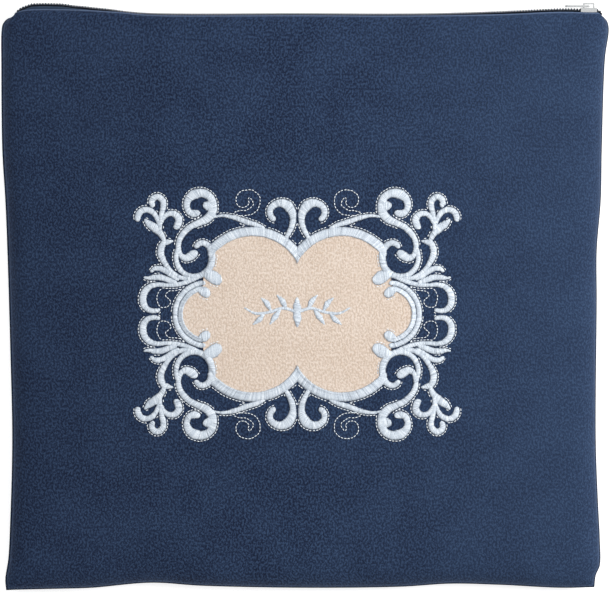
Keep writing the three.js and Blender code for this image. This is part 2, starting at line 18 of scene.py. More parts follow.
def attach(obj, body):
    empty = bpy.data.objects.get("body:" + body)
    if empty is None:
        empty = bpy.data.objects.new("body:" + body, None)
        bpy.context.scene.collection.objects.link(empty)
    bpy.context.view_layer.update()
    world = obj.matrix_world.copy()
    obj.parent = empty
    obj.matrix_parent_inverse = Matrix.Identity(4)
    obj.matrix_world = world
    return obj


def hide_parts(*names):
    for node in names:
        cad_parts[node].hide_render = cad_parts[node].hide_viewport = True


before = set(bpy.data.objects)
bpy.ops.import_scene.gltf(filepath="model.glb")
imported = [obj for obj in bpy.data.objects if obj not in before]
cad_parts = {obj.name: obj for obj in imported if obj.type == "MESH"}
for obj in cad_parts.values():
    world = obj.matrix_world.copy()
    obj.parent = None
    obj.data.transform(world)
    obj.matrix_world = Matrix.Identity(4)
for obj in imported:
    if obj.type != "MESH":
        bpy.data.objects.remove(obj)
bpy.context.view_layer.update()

LOG = logging.getLogger("bag")
MM = 0.001
SEED = 7
TINY = 1e-12
UP = np.array([0.0, 0.0, 1.0])


def to_linear(code: str) -> tuple:
    """Turns an sRGB hex colour to linear values.

    Args:
        code: Six hex digits, such as "2B3953".

    Returns:
        Red, green, blue and an alpha of 1.
    """
    parts = [int(code[place:place + 2], 16) / 255 for place in (0, 2, 4)]
    line = [c / 12.92 if c <= 0.04045 else ((c + 0.055) / 1.055) ** 2.4 for c in parts]
    return (*line, 1.0)


class Side(Enum):
    """Which of the bag's two walls a piece belongs to."""

    FRONT = 1
    BACK = -1


class Facing(Enum):
    """The quarter of the scrollwork: its signs outward to the left and upward."""

    TOP_LEFT = (1, 1)
    TOP_RIGHT = (-1, 1)
    BOTTOM_LEFT = (1, -1)
    BOTTOM_RIGHT = (-1, -1)


class SmoothLine:
    """A centripetal Catmull-Rom curve through a few points, read by length."""

    per_span = 24

    def __init__(self, points: list) -> None:
        """Samples the curve.

        Args:
            points: The points that it passes through, as rows of equal length.
        """
        through = np.asarray(points, dtype=float)
        first = 2 * through[0] - through[1]
        last = 2 * through[-1] - through[-2]
        row = np.vstack([first, through, last])
        samples = [through[:1]]
        for span in range(len(through) - 1):
            samples.append(self._span(row[span:span + 4]))
        self.samples = np.vstack(samples)
        steps = np.linalg.norm(np.diff(self.samples, axis=0), axis=1)
        self.lengths = np.concatenate([[0.0], np.cumsum(steps)])
        self.length = float(self.lengths[-1])
        self.knots = np.arange(len(self.samples)) / self.per_span

    def _span(self, four: np.ndarray) -> np.ndarray:
        """Samples one span.

        Args:
            four: The span's two ends, with the point before and the point after.

        Returns:
            The samples after the span's start.
        """
        before, start, end, after = four
        gaps = [np.linalg.norm(b - a) ** 0.5 for a, b in zip(four[:-1], four[1:])]
        ahead = (start - before) / gaps[0] - (end - before) / (gaps[0] + gaps[1])
        ahead = (ahead + (end - start) / gaps[1]) * gaps[1]
        behind = (end - start) / gaps[1] - (after - start) / (gaps[1] + gaps[2])
        behind = (behind + (after - end) / gaps[2]) * gaps[1]
        share = np.linspace(0, 1, self.per_span + 1)[1:, None]
        square = -3 * start + 3 * end - 2 * ahead - behind
        cube = 2 * start - 2 * end + ahead + behind
        return start + ahead * share + square * share**2 + cube * share**3

    def at(self, share: np.ndarray) -> np.ndarray:
        """Reads the curve.

        Args:
            share: Shares of the curve's length.

        Returns:
            The points there.
        """
        where = np.clip(share, 0, 1) * self.length
        columns = [np.interp(where, self.lengths, c) for c in self.samples.T]
        return np.stack(columns, axis=-1)

    def knot_at(self, share: np.ndarray) -> np.ndarray:
        """Returns the place among the given points, as a decimal index."""
        return np.interp(np.clip(share, 0, 1) * self.length, self.lengths, self.knots)


def grid_quads(rows: int, columns: int, ring: bool = False) -> np.ndarray:
    """Joins rows of points into four-sided faces.

    Args:
        rows: Number of rows of points.
        columns: Points in each row.
        ring: Whether each row closes on itself.

    Returns:
        One row of four indices for each face.
    """
    row = np.arange(rows - 1)[:, None]
    column = np.arange(columns if ring else columns - 1)[None, :]
    beside = (column + 1) % columns
    corners = [row * columns + column, row * columns + beside]
    corners += [(row + 1) * columns + beside, (row + 1) * columns + column]
    return np.stack(corners, axis=-1).reshape(-1, 4)


@dataclass
class Pile:
    """Points and faces of many like parts, gathered to be joined as one mesh."""

    points: list = field(default_factory=list)
    faces: list = field(default_factory=list)
    shades: list = field(default_factory=list)
    flats: list = field(default_factory=list)
    count: int = 0

    def add(self, points: np.ndarray, quads: np.ndarray, shade: object = 0.5,
            flat: np.ndarray = None) -> None:
        """Adds one part.

        Args:
            points: Its points, in millimetres.
            quads: Its faces, counted from its own first point.
            shade: A number from 0 to 1, or one for each point, kept for the finish.
            flat: Where each point lay before the cloth was bent, in millimetres.
        """
        self.flats.append(points if flat is None else flat)
        self.points.append(points)
        self.faces.append(quads + self.count)
        self.shades.append(np.broadcast_to(shade, (len(points),)))
        self.count += len(points)

    def build(self, name: str, finish: Material) -> Object:
        """Makes the joined object.

        Args:
            name: The piece's name.
            finish: Its material.

        Returns:
            The new object, linked to the scene.
        """
        points = np.vstack(self.points) * MM
        quads = np.vstack(self.faces)
        mesh = bpy.data.meshes.new(name)
        mesh.vertices.add(len(points))
        mesh.vertices.foreach_set("co", points.astype(np.float32).ravel())
        mesh.loops.add(quads.size)
        mesh.loops.foreach_set("vertex_index", quads.astype(np.int32).ravel())
        mesh.polygons.add(len(quads))
        mesh.polygons.foreach_set("loop_start", np.arange(0, quads.size, 4, dtype=np.int32))
        mesh.update(calc_edges=True)
        mesh.polygons.foreach_set("use_smooth", np.full(len(quads), True))
        shade = mesh.attributes.new("shade", "FLOAT", "POINT")
        shade.data.foreach_set("value", np.concatenate(self.shades).astype(np.float32))
        flat = mesh.attributes.new("flat", "FLOAT_VECTOR", "POINT")
        flat.data.foreach_set("vector", (np.vstack(self.flats) * MM).astype(np.float32).ravel())
        mesh.validate()
        mesh.materials.append(finish)
        piece = bpy.data.objects.new(name, mesh)
        bpy.context.scene.collection.objects.link(piece)
        return piece


def ellipse_tube(path: np.ndarray, half: np.ndarray, tall: np.ndarray, up: np.ndarray,
                 sides: int = 6) -> tuple:
    """Makes a tube of elliptical section along a short path.

    Args:
        path: Points of its middle line.
        half: Half-width at each point.
        tall: Half-height at each point.
        up: The direction that its height follows.
        sides: Number of sides of the section.

    Returns:
        Its points and its faces, open at the ends, where the section is tiny.
    """
    along = np.gradient(path, axis=0)
    along /= np.linalg.norm(along, axis=1, keepdims=True) + TINY
    across = np.cross(np.broadcast_to(up, along.shape), along)
    across /= np.linalg.norm(across, axis=1, keepdims=True) + TINY
    rise = np.cross(along, across)
    turn = np.linspace(0, 2 * np.pi, sides, endpoint=False)
    wide = np.cos(turn)[None, :, None] * half[:, None, None] * across[:, None, :]
    high = np.sin(turn)[None, :, None] * tall[:, None, None] * rise[:, None, :]
    points = (path[:, None, :] + wide + high).reshape(-1, 3)
    return points, grid_quads(len(path), sides, ring=True)


class Look:
    """A new material, with short calls for the shader nodes that the finishes share."""

    def __init__(self, name: str) -> None:
        """Starts the material.

        Args:
            name: Its name.
        """
        self.material = bpy.data.materials.new(name)
        self.material.use_nodes = True
        self.tree = self.material.node_tree
        self.shader = self.tree.nodes["Principled BSDF"]
        self.place = self.node("TexCoord").outputs["Object"]

    def node(self, kind: str, settings: dict = None, links: dict = None) -> Node:
        """Adds a shader node.

        Args:
            kind: The node's type after "ShaderNode", such as "TexNoise".
            settings: Values for its inputs, by name or number, or for its own properties.
            links: Output sockets to join to its inputs, by name or number.

        Returns:
            The new node.
        """
        node = self.tree.nodes.new(f"ShaderNode{kind}")
        for key, value in (settings or {}).items():
            if isinstance(key, int) or key in node.inputs:
                node.inputs[key].default_value = value
            else:
                setattr(node, key, value)
        for key, socket in (links or {}).items():
            self.tree.links.new(socket, node.inputs[key])
        return node

    def attribute(self, name: str, output: str = "Fac") -> NodeSocket:
        """Returns the socket of "shade" or "flat", which a pile keeps in its mesh."""
        return self.node("Attribute", {"attribute_name": name}).outputs[output]

    def noise(self, grain_mm: float, detail: float, where: NodeSocket = None,
              roughness: float = 0.5, output: str = "Fac") -> NodeSocket:
        """Adds noise, in the object's space or on the flat cloth.

        Args:
            grain_mm: Size of its grains.
            detail: How many finer layers it has.
            where: The places on the flat cloth, or None for the object's space.
            roughness: Weight of the finer layers.
            output: The node's output.

        Returns:
            The output's socket.
        """
        settings = {"Scale": 1 / (grain_mm * MM), "Detail": detail, "Roughness": roughness}
        settings["noise_dimensions"] = "3D" if where is None else "2D"
        return self.node("TexNoise", settings, {"Vector": where or self.place}).outputs[output]

    def ramp(self, value: NodeSocket, low: float, high: float, start: float = 0.0,
             end: float = 1.0) -> NodeSocket:
        """Maps a value smoothly from one range to another.

        Args:
            value: The socket to read.
            low: The value that gives start.
            high: The value that gives end.
            start: Result at low.
            end: Result at high.

        Returns:
            The mapped socket.
        """
        settings = {"interpolation_type": "SMOOTHSTEP", "From Min": low, "From Max": high,
                    "To Min": start, "To Max": end}
        return self.node("MapRange", settings, {"Value": value}).outputs[0]

    def blend(self, share: object, first: object, second: object) -> NodeSocket:
        """Mixes two colours, each a hex code or a socket.

        Args:
            share: Share of the second, a number or a socket.
            first: The first colour.
            second: The second colour.

        Returns:
            The mixed colour's socket.
        """
        settings, links = {"data_type": "RGBA"}, {}
        for place, given in ((0, share), (6, first), (7, second)):
            if isinstance(given, NodeSocket):
                links[place] = given
            else:
                settings[place] = to_linear(given) if isinstance(given, str) else given
        return self.node("Mix", settings, links).outputs[2]

    def settle(self, values: dict) -> Material:
        """Sets the shader's constant inputs.

        Args:
            values: The values, by the input's name.

        Returns:
            The material.
        """
        for name, value in values.items():
            self.shader.inputs[name].default_value = value
        return self.material

    def finish(self, colour: NodeSocket, roughness: NodeSocket,
               layers: list, values: dict) -> Material:
        """Joins what was made to the shader.

        Args:
            colour: The colour's socket.
            roughness: The roughness's socket.
            layers: Bumps, coarse first: height socket, relief in millimetres and strength.
            values: Values for the shader's constant inputs, by name.

        Returns:
            The material.
        """
        below = {}
        for height, relief, strength in layers:
            bump = self.node("Bump", {"Distance": relief * MM, "Strength": strength},
                             {"Height": height, **below})
            below = {"Normal": bump.outputs["Normal"]}
        joined = {"Base Color": colour, "Roughness": roughness, **below}
        for name, socket in joined.items():
            self.tree.links.new(socket, self.shader.inputs[name])
        return self.settle(values)


@dataclass(frozen=True)
class FauxSuede:
    """Polyester faux suede: knitted, embossed with a pebbled grain and brushed.

    The eye sees a matt cloth whose pebbles are a little lighter than the creases between them,
    with soft lighter and darker patches where the nap lies either way. Light is painted in too:
    a painted highlight along the front's folded edge, painted shadow along the back cloth's
    edge, and painted shade that runs from darker at the left to lighter at the right.
    """

    name: str
    crease: str
    body: str
    pebble: str
    # fold: colour of the painted highlight along the folded edge
    fold: str
    # seam: colour of the painted shadow along the back cloth's edge
    painted_seam_shadow: str
    sheen: float
    # lean: strength of the painted shade, darker at the left and lighter at the right
    lean: float
    pebble_mm: float = 1.65
    wander_mm: float = 1.35
    crinkle_mm: float = 1.15
    fuzz_mm: float = 0.22
    patch_mm: float = 26.0
    relief_mm: float = 0.16
    squash: float = 0.78
    cell_share: float = 0.45
    fleck: float = 0.18
    nap: float = 0.14

    def _pebbles(self, look: Look, flat: NodeSocket) -> tuple:
        """Draws the embossed grain on the flat cloth.

        Args:
            look: The material.
            flat: The places on the flat cloth.

        Returns:
            The sockets of the ridges and of the crinkle that breaks them up.
        """
        squashed = look.node("Mapping", {"Scale": (1.0, self.squash, 1.0)},
                             {"Vector": flat}).outputs[0]
        wander = look.noise(0.8 * self.pebble_mm, 1.0, squashed, output="Color")
        centred = look.node("VectorMath", {"operation": "SUBTRACT", 1: (0.5,) * 3},
                            {0: wander}).outputs[0]
        nudge = {"operation": "MULTIPLY_ADD", 1: (self.wander_mm * MM,) * 3}
        nudged = look.node("VectorMath", nudge, {0: centred, 2: squashed}).outputs[0]
        edges = {"voronoi_dimensions": "2D", "feature": "DISTANCE_TO_EDGE",
                 "Scale": 1 / (self.pebble_mm * MM)}
        cells = look.node("TexVoronoi", edges, {"Vector": nudged}).outputs["Distance"]
        crinkle = look.noise(self.crinkle_mm, 2.0, squashed, 0.6)
        merged = look.node("Math", {"operation": "MULTIPLY_ADD", 1: self.cell_share},
                           {0: cells, 2: crinkle}).outputs[0]
        return look.ramp(merged, 0.34, 0.78), crinkle

    def build(self) -> Material:
        """Builds the material.

        Returns:
            The material.
        """
        look = Look(self.name)
        flat, painted_edge_light_and_shade = look.attribute("flat", "Vector"), look.attribute("shade")
        ridges, crinkle = self._pebbles(look, flat)
        fuzz = look.noise(self.fuzz_mm, 2.0)
        # The creases take the crease colour: partly the cloth's own darker colour, partly painted
        # shade in the hollows
        colour = look.blend(look.ramp(ridges, 0.0, 0.5), self.crease, self.body)
        colour = look.blend(look.ramp(ridges, 0.5, 1.0), colour, self.pebble)
        colour = look.blend(look.ramp(crinkle, 0.5, 0.75, 0.0, self.fleck), colour, self.pebble)
        colour = look.blend(look.ramp(crinkle, 0.28, 0.45, self.fleck, 0.0), colour, self.crease)
        patches = look.ramp(look.noise(self.patch_mm, 2.0, flat, 0.4), 0.32, 0.68)
        colour = look.blend(patches, look.blend(self.nap, colour, self.crease),
                            look.blend(self.nap, colour, self.pebble))
        # Painted light and shade: the cloth is painted darker towards the left and lighter towards
        # the right, where the key light stands
        if self.lean > 0:
            across = look.node("SeparateXYZ", {}, {"Vector": flat}).outputs["X"]
            left = look.ramp(across, 0.0, 0.2, self.lean, 0.0)
            right = look.ramp(across, 0.17, 0.36, 0.0, 1.6 * self.lean)
            colour = look.blend(right, look.blend(left, colour, self.crease), self.pebble)
        # Painted highlight along the front's folded edge and painted shadow along the back cloth's
        # edge, both read from the shade attribute
        colour = look.blend(look.ramp(painted_edge_light_and_shade, 0.5, 1.0, 0.0, 0.6), colour, self.fold)
        colour = look.blend(look.ramp(painted_edge_light_and_shade, 0.0, 0.5, 0.9, 0.0), colour, self.painted_seam_shadow)
        layers = [(ridges, self.relief_mm, 0.9), (crinkle, self.relief_mm * 0.8, 0.7),
                  (fuzz, 0.04, 0.6)]
        values = {"Specular IOR Level": 0.25, "Sheen Weight": self.sheen,
                  "Sheen Roughness": 0.5, "Sheen Tint": to_linear(self.pebble)}
        return look.finish(colour, look.ramp(fuzz, 0.3, 0.7, 0.8, 0.95), layers, values)


@dataclass(frozen=True)
class SatinThread:
    """Trilobal rayon or polyester thread, laid side by side as satin stitch.

    The eye sees a silvery band whose threads catch the light one by one, with a painted
    highlight on the crest of the band, painted shade in the grooves between threads and
    small painted glints.
    """

    name: str
    groove: str
    body: str
    glint: str

    def build(self) -> Material:
        """Builds the material.

        Returns:
            The material.
        """
        look = Look(self.name)
        each, fibre = look.attribute("shade"), look.noise(0.55, 3.0)
        # The shade attribute carries painted shade in the grooves and a painted highlight on the
        # crest; fibre noise adds painted glints
        colour = look.blend(look.ramp(each, 0.0, 0.55), self.groove, self.body)
        colour = look.blend(look.ramp(each, 0.5, 1.0), colour, self.glint)
        colour = look.blend(look.ramp(fibre, 0.35, 0.75, 0.0, 0.5), colour, self.glint)
        values = {"Specular IOR Level": 0.55, "IOR": 1.53, "Sheen Weight": 0.15}
        roughness = look.ramp(fibre, 0.3, 0.7, 0.34, 0.52)
        return look.finish(colour, roughness, [(fibre, 0.12, 0.5)], values)


@dataclass(frozen=True)
class WovenTape:
    """Polyester zipper tape, woven in a fine twill that shows as slanting ribs."""

    name: str
    low: str
    high: str
    rib_mm: float = 0.42

    def build(self) -> Material:
        """Builds the material.

        Returns:
            The material.
        """
        look = Look(self.name)
        ribs = {"wave_type": "BANDS", "bands_direction": "DIAGONAL", "Distortion": 0.4,
                "Scale": 0.31 / (self.rib_mm * MM), "Detail": 1.0, "Detail Scale": 3.0}
        twill = look.node("TexWave", ribs, {"Vector": look.place}).outputs["Fac"]
        lint = look.noise(0.4, 3.0)
        colour = look.blend(twill, self.low, self.high)
        colour = look.blend(look.ramp(lint, 0.5, 0.9, 0.0, 0.3), colour, self.high)
        roughness = look.ramp(lint, 0.3, 0.7, 0.7, 0.9)
        return look.finish(colour, roughness, [(twill, 0.1, 0.6), (lint, 0.04, 0.4)], {})


@dataclass(frozen=True)
class NylonCoil:
    """Dyed nylon monofilament, wound into a coil: smooth, with a soft plastic shine."""

    name: str
    dye: str
    # Colour that each loop turns towards at its outer crest
    outer_crest: str

    def build(self) -> Material:
        """Builds the material.

        Returns:
            The material.
        """
        look = Look(self.name)
        each, dust = look.attribute("shade"), look.noise(0.8, 3.0)
        # Each loop is lighter towards its outer crest
        colour = look.blend(look.ramp(each, 0.2, 1.0, 0.0, 0.6), self.dye, self.outer_crest)
        values = {"IOR": 1.53, "Specular IOR Level": 0.2}
        roughness = look.ramp(dust, 0.3, 0.7, 0.26, 0.42)
        return look.finish(colour, roughness, [(dust, 0.03, 0.3)], values)


@dataclass(frozen=True)
class PlatedZinc:
    """Die-cast zinc with nickel plate: bright, with fine polishing lines and handling marks."""

    name: str
    plate: str
    dull: str

    def build(self) -> Material:
        """Builds the material.

        Returns:
            The material.
        """
        look = Look(self.name)
        drawn = look.node("Mapping", {"Scale": (0.12, 1.0, 1.0)}, {"Vector": look.place}).outputs[0]
        lines = look.node("TexNoise", {"Scale": 1 / (0.16 * MM), "Detail": 4.0},
                          {"Vector": drawn}).outputs["Fac"]
        marks = look.noise(1.6, 4.0)
        colour = look.blend(look.ramp(marks, 0.48, 0.78, 0.0, 0.55), self.plate, self.dull)
        layers = [(lines, 0.02, 0.25), (marks, 0.05, 0.15)]
        roughness = look.ramp(marks, 0.3, 0.75, 0.22, 0.36)
        return look.finish(colour, roughness, layers, {"Metallic": 1.0})


# Insets of the cloth's edge, as rows of share along the edge and share inward from the
# bag's box: the bottom and top count from the left, the left and right from the bottom
BOTTOM_EDGE = [(0.025, 0.0017), (0.097, 0.0034), (0.147, 0.005), (0.245, 0.0136), (0.328, 0.0085),
               (0.493, 0.005), (0.657, 0.0068), (0.74, 0.012), (0.822, 0.01), (0.921, 0.005)]
TOP_EDGE = [(0.0173, 0.0228), (0.0206, 0.0196), (0.0235, 0.0168), (0.0264, 0.015), (0.034, 0.0125),
            (0.045, 0.011), (0.072, 0.0104), (0.1, 0.0107), (0.13, 0.0115), (0.163, 0.0134),
            (0.196, 0.0158), (0.245, 0.0202), (0.493, 0.0208), (0.657, 0.0215), (0.822, 0.019),
            (0.921, 0.015), (0.97, 0.0162), (0.984, 0.0168)]
LEFT_EDGE = [(0.019, 0.0066), (0.053, 0.0115), (0.12, 0.0148), (0.256, 0.018), (0.409, 0.0148),
             (0.579, 0.01), (0.664, 0.0066), (0.749, 0.0016), (0.9, 0.0), (0.946, 0.0),
             (0.956, 0.0008), (0.963, 0.002), (0.9698, 0.0062)]
RIGHT_EDGE = [(0.0255, 0.0214), (0.042, 0.0148), (0.087, 0.0148), (0.154, 0.018), (0.256, 0.0214),
              (0.494, 0.0198), (0.579, 0.0198), (0.664, 0.0132), (0.749, 0.0115), (0.868, 0.0082),
              (0.91, 0.0058), (0.952, 0.0), (0.963, 0.0008), (0.9698, 0.0032)]
# How far the chain stands past the folded cloth: share along the edge, share of the bulge
CHAIN_PROUD = [(0.0, -0.3), (0.0159, 0.08), (0.0195, 0.27), (0.0267, 0.41), (0.0443, 0.72),
               (0.061, 0.74), (0.0879, 0.71), (0.1212, 0.45), (0.1548, 0.3), (0.205, 0.12),
               (0.25, 0.17), (0.7, 0.2), (0.86, 0.34), (1.0, 0.34)]
# Corners of the cloth: signs of X and Y, and insets as shares of the bag's box
CORNERS = {"bl": (-1, -1, 0.008, 0.001), "br": (1, -1, 0.0239, 0.006),
           "tl": (-1, 1, 0.0108, 0.0262), "tr": (1, 1, 0.0078, 0.0245)}


def eased(part: np.ndarray) -> np.ndarray:
    """Returns shares from 0 to 1 with an easy start and end."""
    part = np.clip(part, 0, 1)
    return part**2 * (3 - 2 * part)


def wave(along: np.ndarray, reach: float, phase: object = 0.0) -> np.ndarray:
    """Returns a sine wave, given the millimetres that a radian takes and its phase."""
    return np.sin(along / reach + phase)


@dataclass
class BagForm:
    """The bag's shape: its outline from above and the height of its two walls."""

    width: float = 360.0
    height: float = 349.0
    wall: float = 1.5
    seam_height: float = 9.0
    clearance: float = 0.3
    roll_width: float = 4.0
    roll: float = 6.0
    front_crown: float = 11.0
    back_crown: float = 9.0
    crown_power: float = 0.6
    half_opening: float = 4.6
    end_ramp: float = 5.0
    chain_bulge: float = 4.1
    pucker: float = 0.35
    pucker_inset: float = 9.0
    pucker_width: float = 8.0
    swell: float = 0.22
    swell_inset: float = 12.0

    def __post_init__(self) -> None:
        """Draws the four edges through their corners."""
        self.corners = {key: np.array([sx * self.width * (0.5 - ix), sy * self.height * (0.5 - iy)])
                        for key, (sx, sy, ix, iy) in CORNERS.items()}
        self.bottom = self._edge(BOTTOM_EDGE, "bl", "br", -1, level=True)
        self.top = self._edge(TOP_EDGE, "tl", "tr", 1, level=True)
        self.left = self._edge(LEFT_EDGE, "bl", "tl", -1, level=False)
        self.right = self._edge(RIGHT_EDGE, "br", "tr", 1, level=False)

    def _edge(self, rows: list, start: str, end: str, sign: int, level: bool) -> SmoothLine:
        """Draws one edge.

        Args:
            rows: Its table of insets.
            start: The corner that it starts from.
            end: The corner that it runs to.
            sign: The side of the middle that it lies on.
            level: Whether it runs along X.

        Returns:
            The edge.
        """
        share, inset = np.array(rows).T
        long, deep = (self.width, self.height) if level else (self.height, self.width)
        between = [long * (share - 0.5), sign * deep * (0.5 - inset)]
        points = np.stack(between if level else between[::-1], axis=-1)
        return SmoothLine([self.corners[start], *points, self.corners[end]])

    def plan(self, u: np.ndarray, v: np.ndarray) -> np.ndarray:
        """Returns the points of the cloth from above.

        Args:
            u: Shares from left to right.
            v: Shares from bottom to top.

        Returns:
            X and Y in the last axis.
        """
        across, up = u[..., None], v[..., None]
        level = self.bottom.at(u) * (1 - up) + self.top.at(u) * up
        upright = self.left.at(v) * (1 - across) + self.right.at(v) * across
        low = self.corners["bl"] * (1 - across) + self.corners["br"] * across
        high = self.corners["tl"] * (1 - across) + self.corners["tr"] * across
        return level + upright - low * (1 - up) - high * up

    def shares(self, x: np.ndarray, y: np.ndarray) -> tuple:
        """Finds where points lie on the cloth.

        Args:
            x: X of the points.
            y: Y of the points.

        Returns:
            Their shares from left to right and from bottom to top.
        """
        u, v = 0.5 + x / self.width, 0.5 + y / self.height
        for _ in range(4):
            reached = self.plan(u, v)
            u = np.clip(u + (x - reached[..., 0]) / self.width, 0, 1)
            v = np.clip(v + (y - reached[..., 1]) / self.height, 0, 1)
        return u, v

    def rise(self, u: np.ndarray, v: np.ndarray, roll: float, crown: float) -> np.ndarray:
        """Works out the height of a wall above its seam, as the model has it.

        Args:
            u: Shares from left to right.
            v: Shares from bottom to top.
            roll: Height of the turn at the seams.
            crown: Height that the filling adds in the middle.

        Returns:
            The heights.
        """
        from_side = np.minimum(u, 1 - u) * self.width
        turned = [1 - np.exp(-away / self.roll_width)
                  for away in (from_side, v * self.height, (1 - v) * self.height)]
        opening = self.half_opening * eased(from_side / self.end_ramp) * (1 - turned[2])
        dome = np.clip(16 * u * (1 - u) * v * (1 - v), 0, 1) ** self.crown_power
        return opening + roll * turned[0] * turned[1] * turned[2] + crown * dome

    def softness(self, x: np.ndarray, y: np.ndarray, u: np.ndarray, v: np.ndarray) -> np.ndarray:
        """Works out the small puckers by the seams and slow swells of the filled cloth.

        Args:
            x: X of the points.
            y: Y of the points.
            u: Their shares from left to right.
            v: Their shares from bottom to top.

        Returns:
            The heights that these add.
        """
        insets = [np.minimum(share, 1 - share) * size
                  for share, size in ((u, self.width), (v, self.height))]
        from_edge = np.minimum(*insets)
        near = np.exp(-((from_edge - self.pucker_inset) / self.pucker_width) ** 2)
        around = np.where(np.abs(v - 0.5) > np.abs(u - 0.5), x, y)
        folds = wave(around, 6.1, 0.7 * wave(around, 17.0)) * wave(around, 31.0, 1.3)
        slow = wave(x, 41.0, 0.6 * wave(y, 53.0)) * wave(y, 37.0, 1.1)
        slow = slow + 0.6 * wave(x + 0.7 * y, 29.0, 2.0)
        calm = np.clip(from_edge / self.swell_inset, 0, 1)
        return self.pucker * near * folds + self.swell * calm * slow

    def front_height(self, x: np.ndarray, y: np.ndarray) -> np.ndarray:
        """Works out the height of the front cloth.

        Args:
            x: X of the points.
            y: Y of the points.

        Returns:
            The cloth's height there.
        """
        u, v = self.shares(x, y)
        base = self.seam_height + self.clearance / 2 + self.rise(u, v, self.roll, self.front_crown)
        return base + self.softness(x, y, u, v)

    def chain_point(self, share: np.ndarray) -> np.ndarray:
        """Works out where the chain's outer face stands, from above.

        Args:
            share: Shares along the top edge.

        Returns:
            X and Y in the last axis.
        """
        point = self.top.at(share)
        along, proud = np.array(CHAIN_PROUD).T
        row = np.clip(np.searchsorted(along, share, side="left"), 1, len(along) - 1)
        part = eased((share - along[row - 1]) / (along[row] - along[row - 1]))
        point[..., 1] += self.chain_bulge * (proud[row - 1] + (proud[row] - proud[row - 1]) * part)
        return point


@dataclass
class ClothWall:
    """One wall of the bag: a sewn sheet of faux suede with a rounded, folded edge."""

    form: BagForm
    side: Side
    steps: int = 190
    crowding: float = 0.72
    rim_steps: int = 3
    peep: float = 0.5
    peep_left: float = 1.7
    peep_width: float = 6.0
    # Place and strength of the painted highlight along the front's fold, and width of the painted
    # shadow along the back's edge
    fold_inset: float = 0.7
    fold_width: float = 0.5
    fold_top: float = 0.5
    fold_elsewhere: float = 0.22
    shadow_width: float = 1.6
    grain_shift: float = 0.9

    def __post_init__(self) -> None:
        """Sets the grid's lines, crowded towards the edges, and the highest that it may rise."""
        even = np.linspace(0, 1, self.steps + 1)
        crowded = 0.5 - 0.5 * np.cos(np.pi * even)
        self.line = (1 - self.crowding) * even + self.crowding * crowded
        floor = self.form.seam_height - self.form.clearance / 2
        self.most = floor if self.side is Side.BACK else math.inf

    def _face(self, inset: float) -> np.ndarray:
        """Lays one face of the sheet.

        Args:
            inset: How far it lies inside the outer face.

        Returns:
            Its grid of points.
        """
        form = self.form
        u, v = np.meshgrid(self.line, self.line)
        plan_u = inset / form.width + u * (1 - 2 * inset / form.width)
        plan_v = inset / form.height + v * (1 - 2 * inset / form.height)
        place = form.plan(plan_u, plan_v)
        crown = form.front_crown if self.side is Side.FRONT else form.back_crown
        rise = np.minimum(form.rise(u, v, form.roll - inset, crown), self.most - inset)
        height = form.seam_height + self.side.value * (form.clearance / 2 + rise)
        if self.side is Side.BACK:
            edges = (u * form.width, (1 - u) * form.width, v * form.height)
            left, right, below = (np.exp(-away / self.peep_width) for away in edges)
            place = place + self.peep * np.stack([right - self.peep_left * left, -below], axis=-1)
        else:
            height = height + form.softness(place[..., 0], place[..., 1], u, v)
        return np.concatenate([place, height[..., None]], axis=-1)

    def _rim(self) -> np.ndarray:
        """Walks round the grid's edge, anticlockwise from above.

        Returns:
            The indices of its points.
        """
        last, across = self.steps, self.steps + 1
        row = np.arange(last)
        sides = [row, row * across + last, last * across + last - row, (last - row) * across]
        return np.concatenate(sides)

    def _shade(self) -> np.ndarray:
        """Sets painted light on the outer face: a painted highlight on the front's fold, painted
        shadow along the back's edge.

        Returns:
            A number from 0 to 1 for each of its points.
        """
        share = np.minimum(self.line, 1 - self.line)
        from_level = share[:, None] * self.form.height
        from_edge = np.minimum(share[None, :] * self.form.width, from_level)
        if self.side is Side.BACK:
            # Painted shadow along the back cloth's edge, darkest at the very edge
            return (0.5 - 0.5 * np.exp(-((from_edge / self.shadow_width) ** 2))).reshape(-1)
        # Painted highlight along the front's folded edge, stronger by the top
        fold = np.exp(-((from_edge - self.fold_inset) / self.fold_width) ** 2)
        by_top = (self.line > 0.5)[:, None] & (from_edge >= from_level)
        return (0.5 + np.where(by_top, self.fold_top, self.fold_elsewhere) * fold).reshape(-1)

    def build(self, name: str, finish: Material) -> Object:
        """Makes the wall.

        Args:
            name: The piece's name.
            finish: Its material.

        Returns:
            The new object.
        """
        grid = self._face(0.0)
        outer, inner = grid.reshape(-1, 3), self._face(self.form.wall).reshape(-1, 3)
        runs = [np.cumsum(np.linalg.norm(np.diff(grid, axis=axis, prepend=grid.take([0], axis)),
                                         axis=2), axis=axis) for axis in (1, 0)]
        laid = np.stack([*runs, np.zeros_like(runs[0])], axis=-1).reshape(-1, 3)
        rim, count = self._rim(), len(outer)
        parts = [step / self.rim_steps for step in range(1, self.rim_steps)]
        middle = [outer[rim] * (1 - part) + inner[rim] * part for part in parts]
        points = np.vstack([outer, inner, *middle])
        between = [2 * count + step * len(rim) + np.arange(len(rim)) for step in range(len(middle))]
        loops = [rim, *between, rim + count]
        bands = [np.stack([np.roll(near, -1), near, far, np.roll(far, -1)], axis=-1)
                 for near, far in zip(loops[:-1], loops[1:])]
        faces = grid_quads(self.steps + 1, self.steps + 1)
        quads = np.vstack([faces, faces[:, ::-1] + count, *bands])
        if self.side is Side.BACK:
            quads = quads[:, ::-1]
        flats = np.vstack([laid, laid + self.grain_shift, *([laid[rim]] * len(middle))])
        shade = np.concatenate([self._shade(), np.full(len(points) - count, 0.5)])
        pile = Pile()
        pile.add(points, quads, shade, flats)
        return pile.build(name, finish)


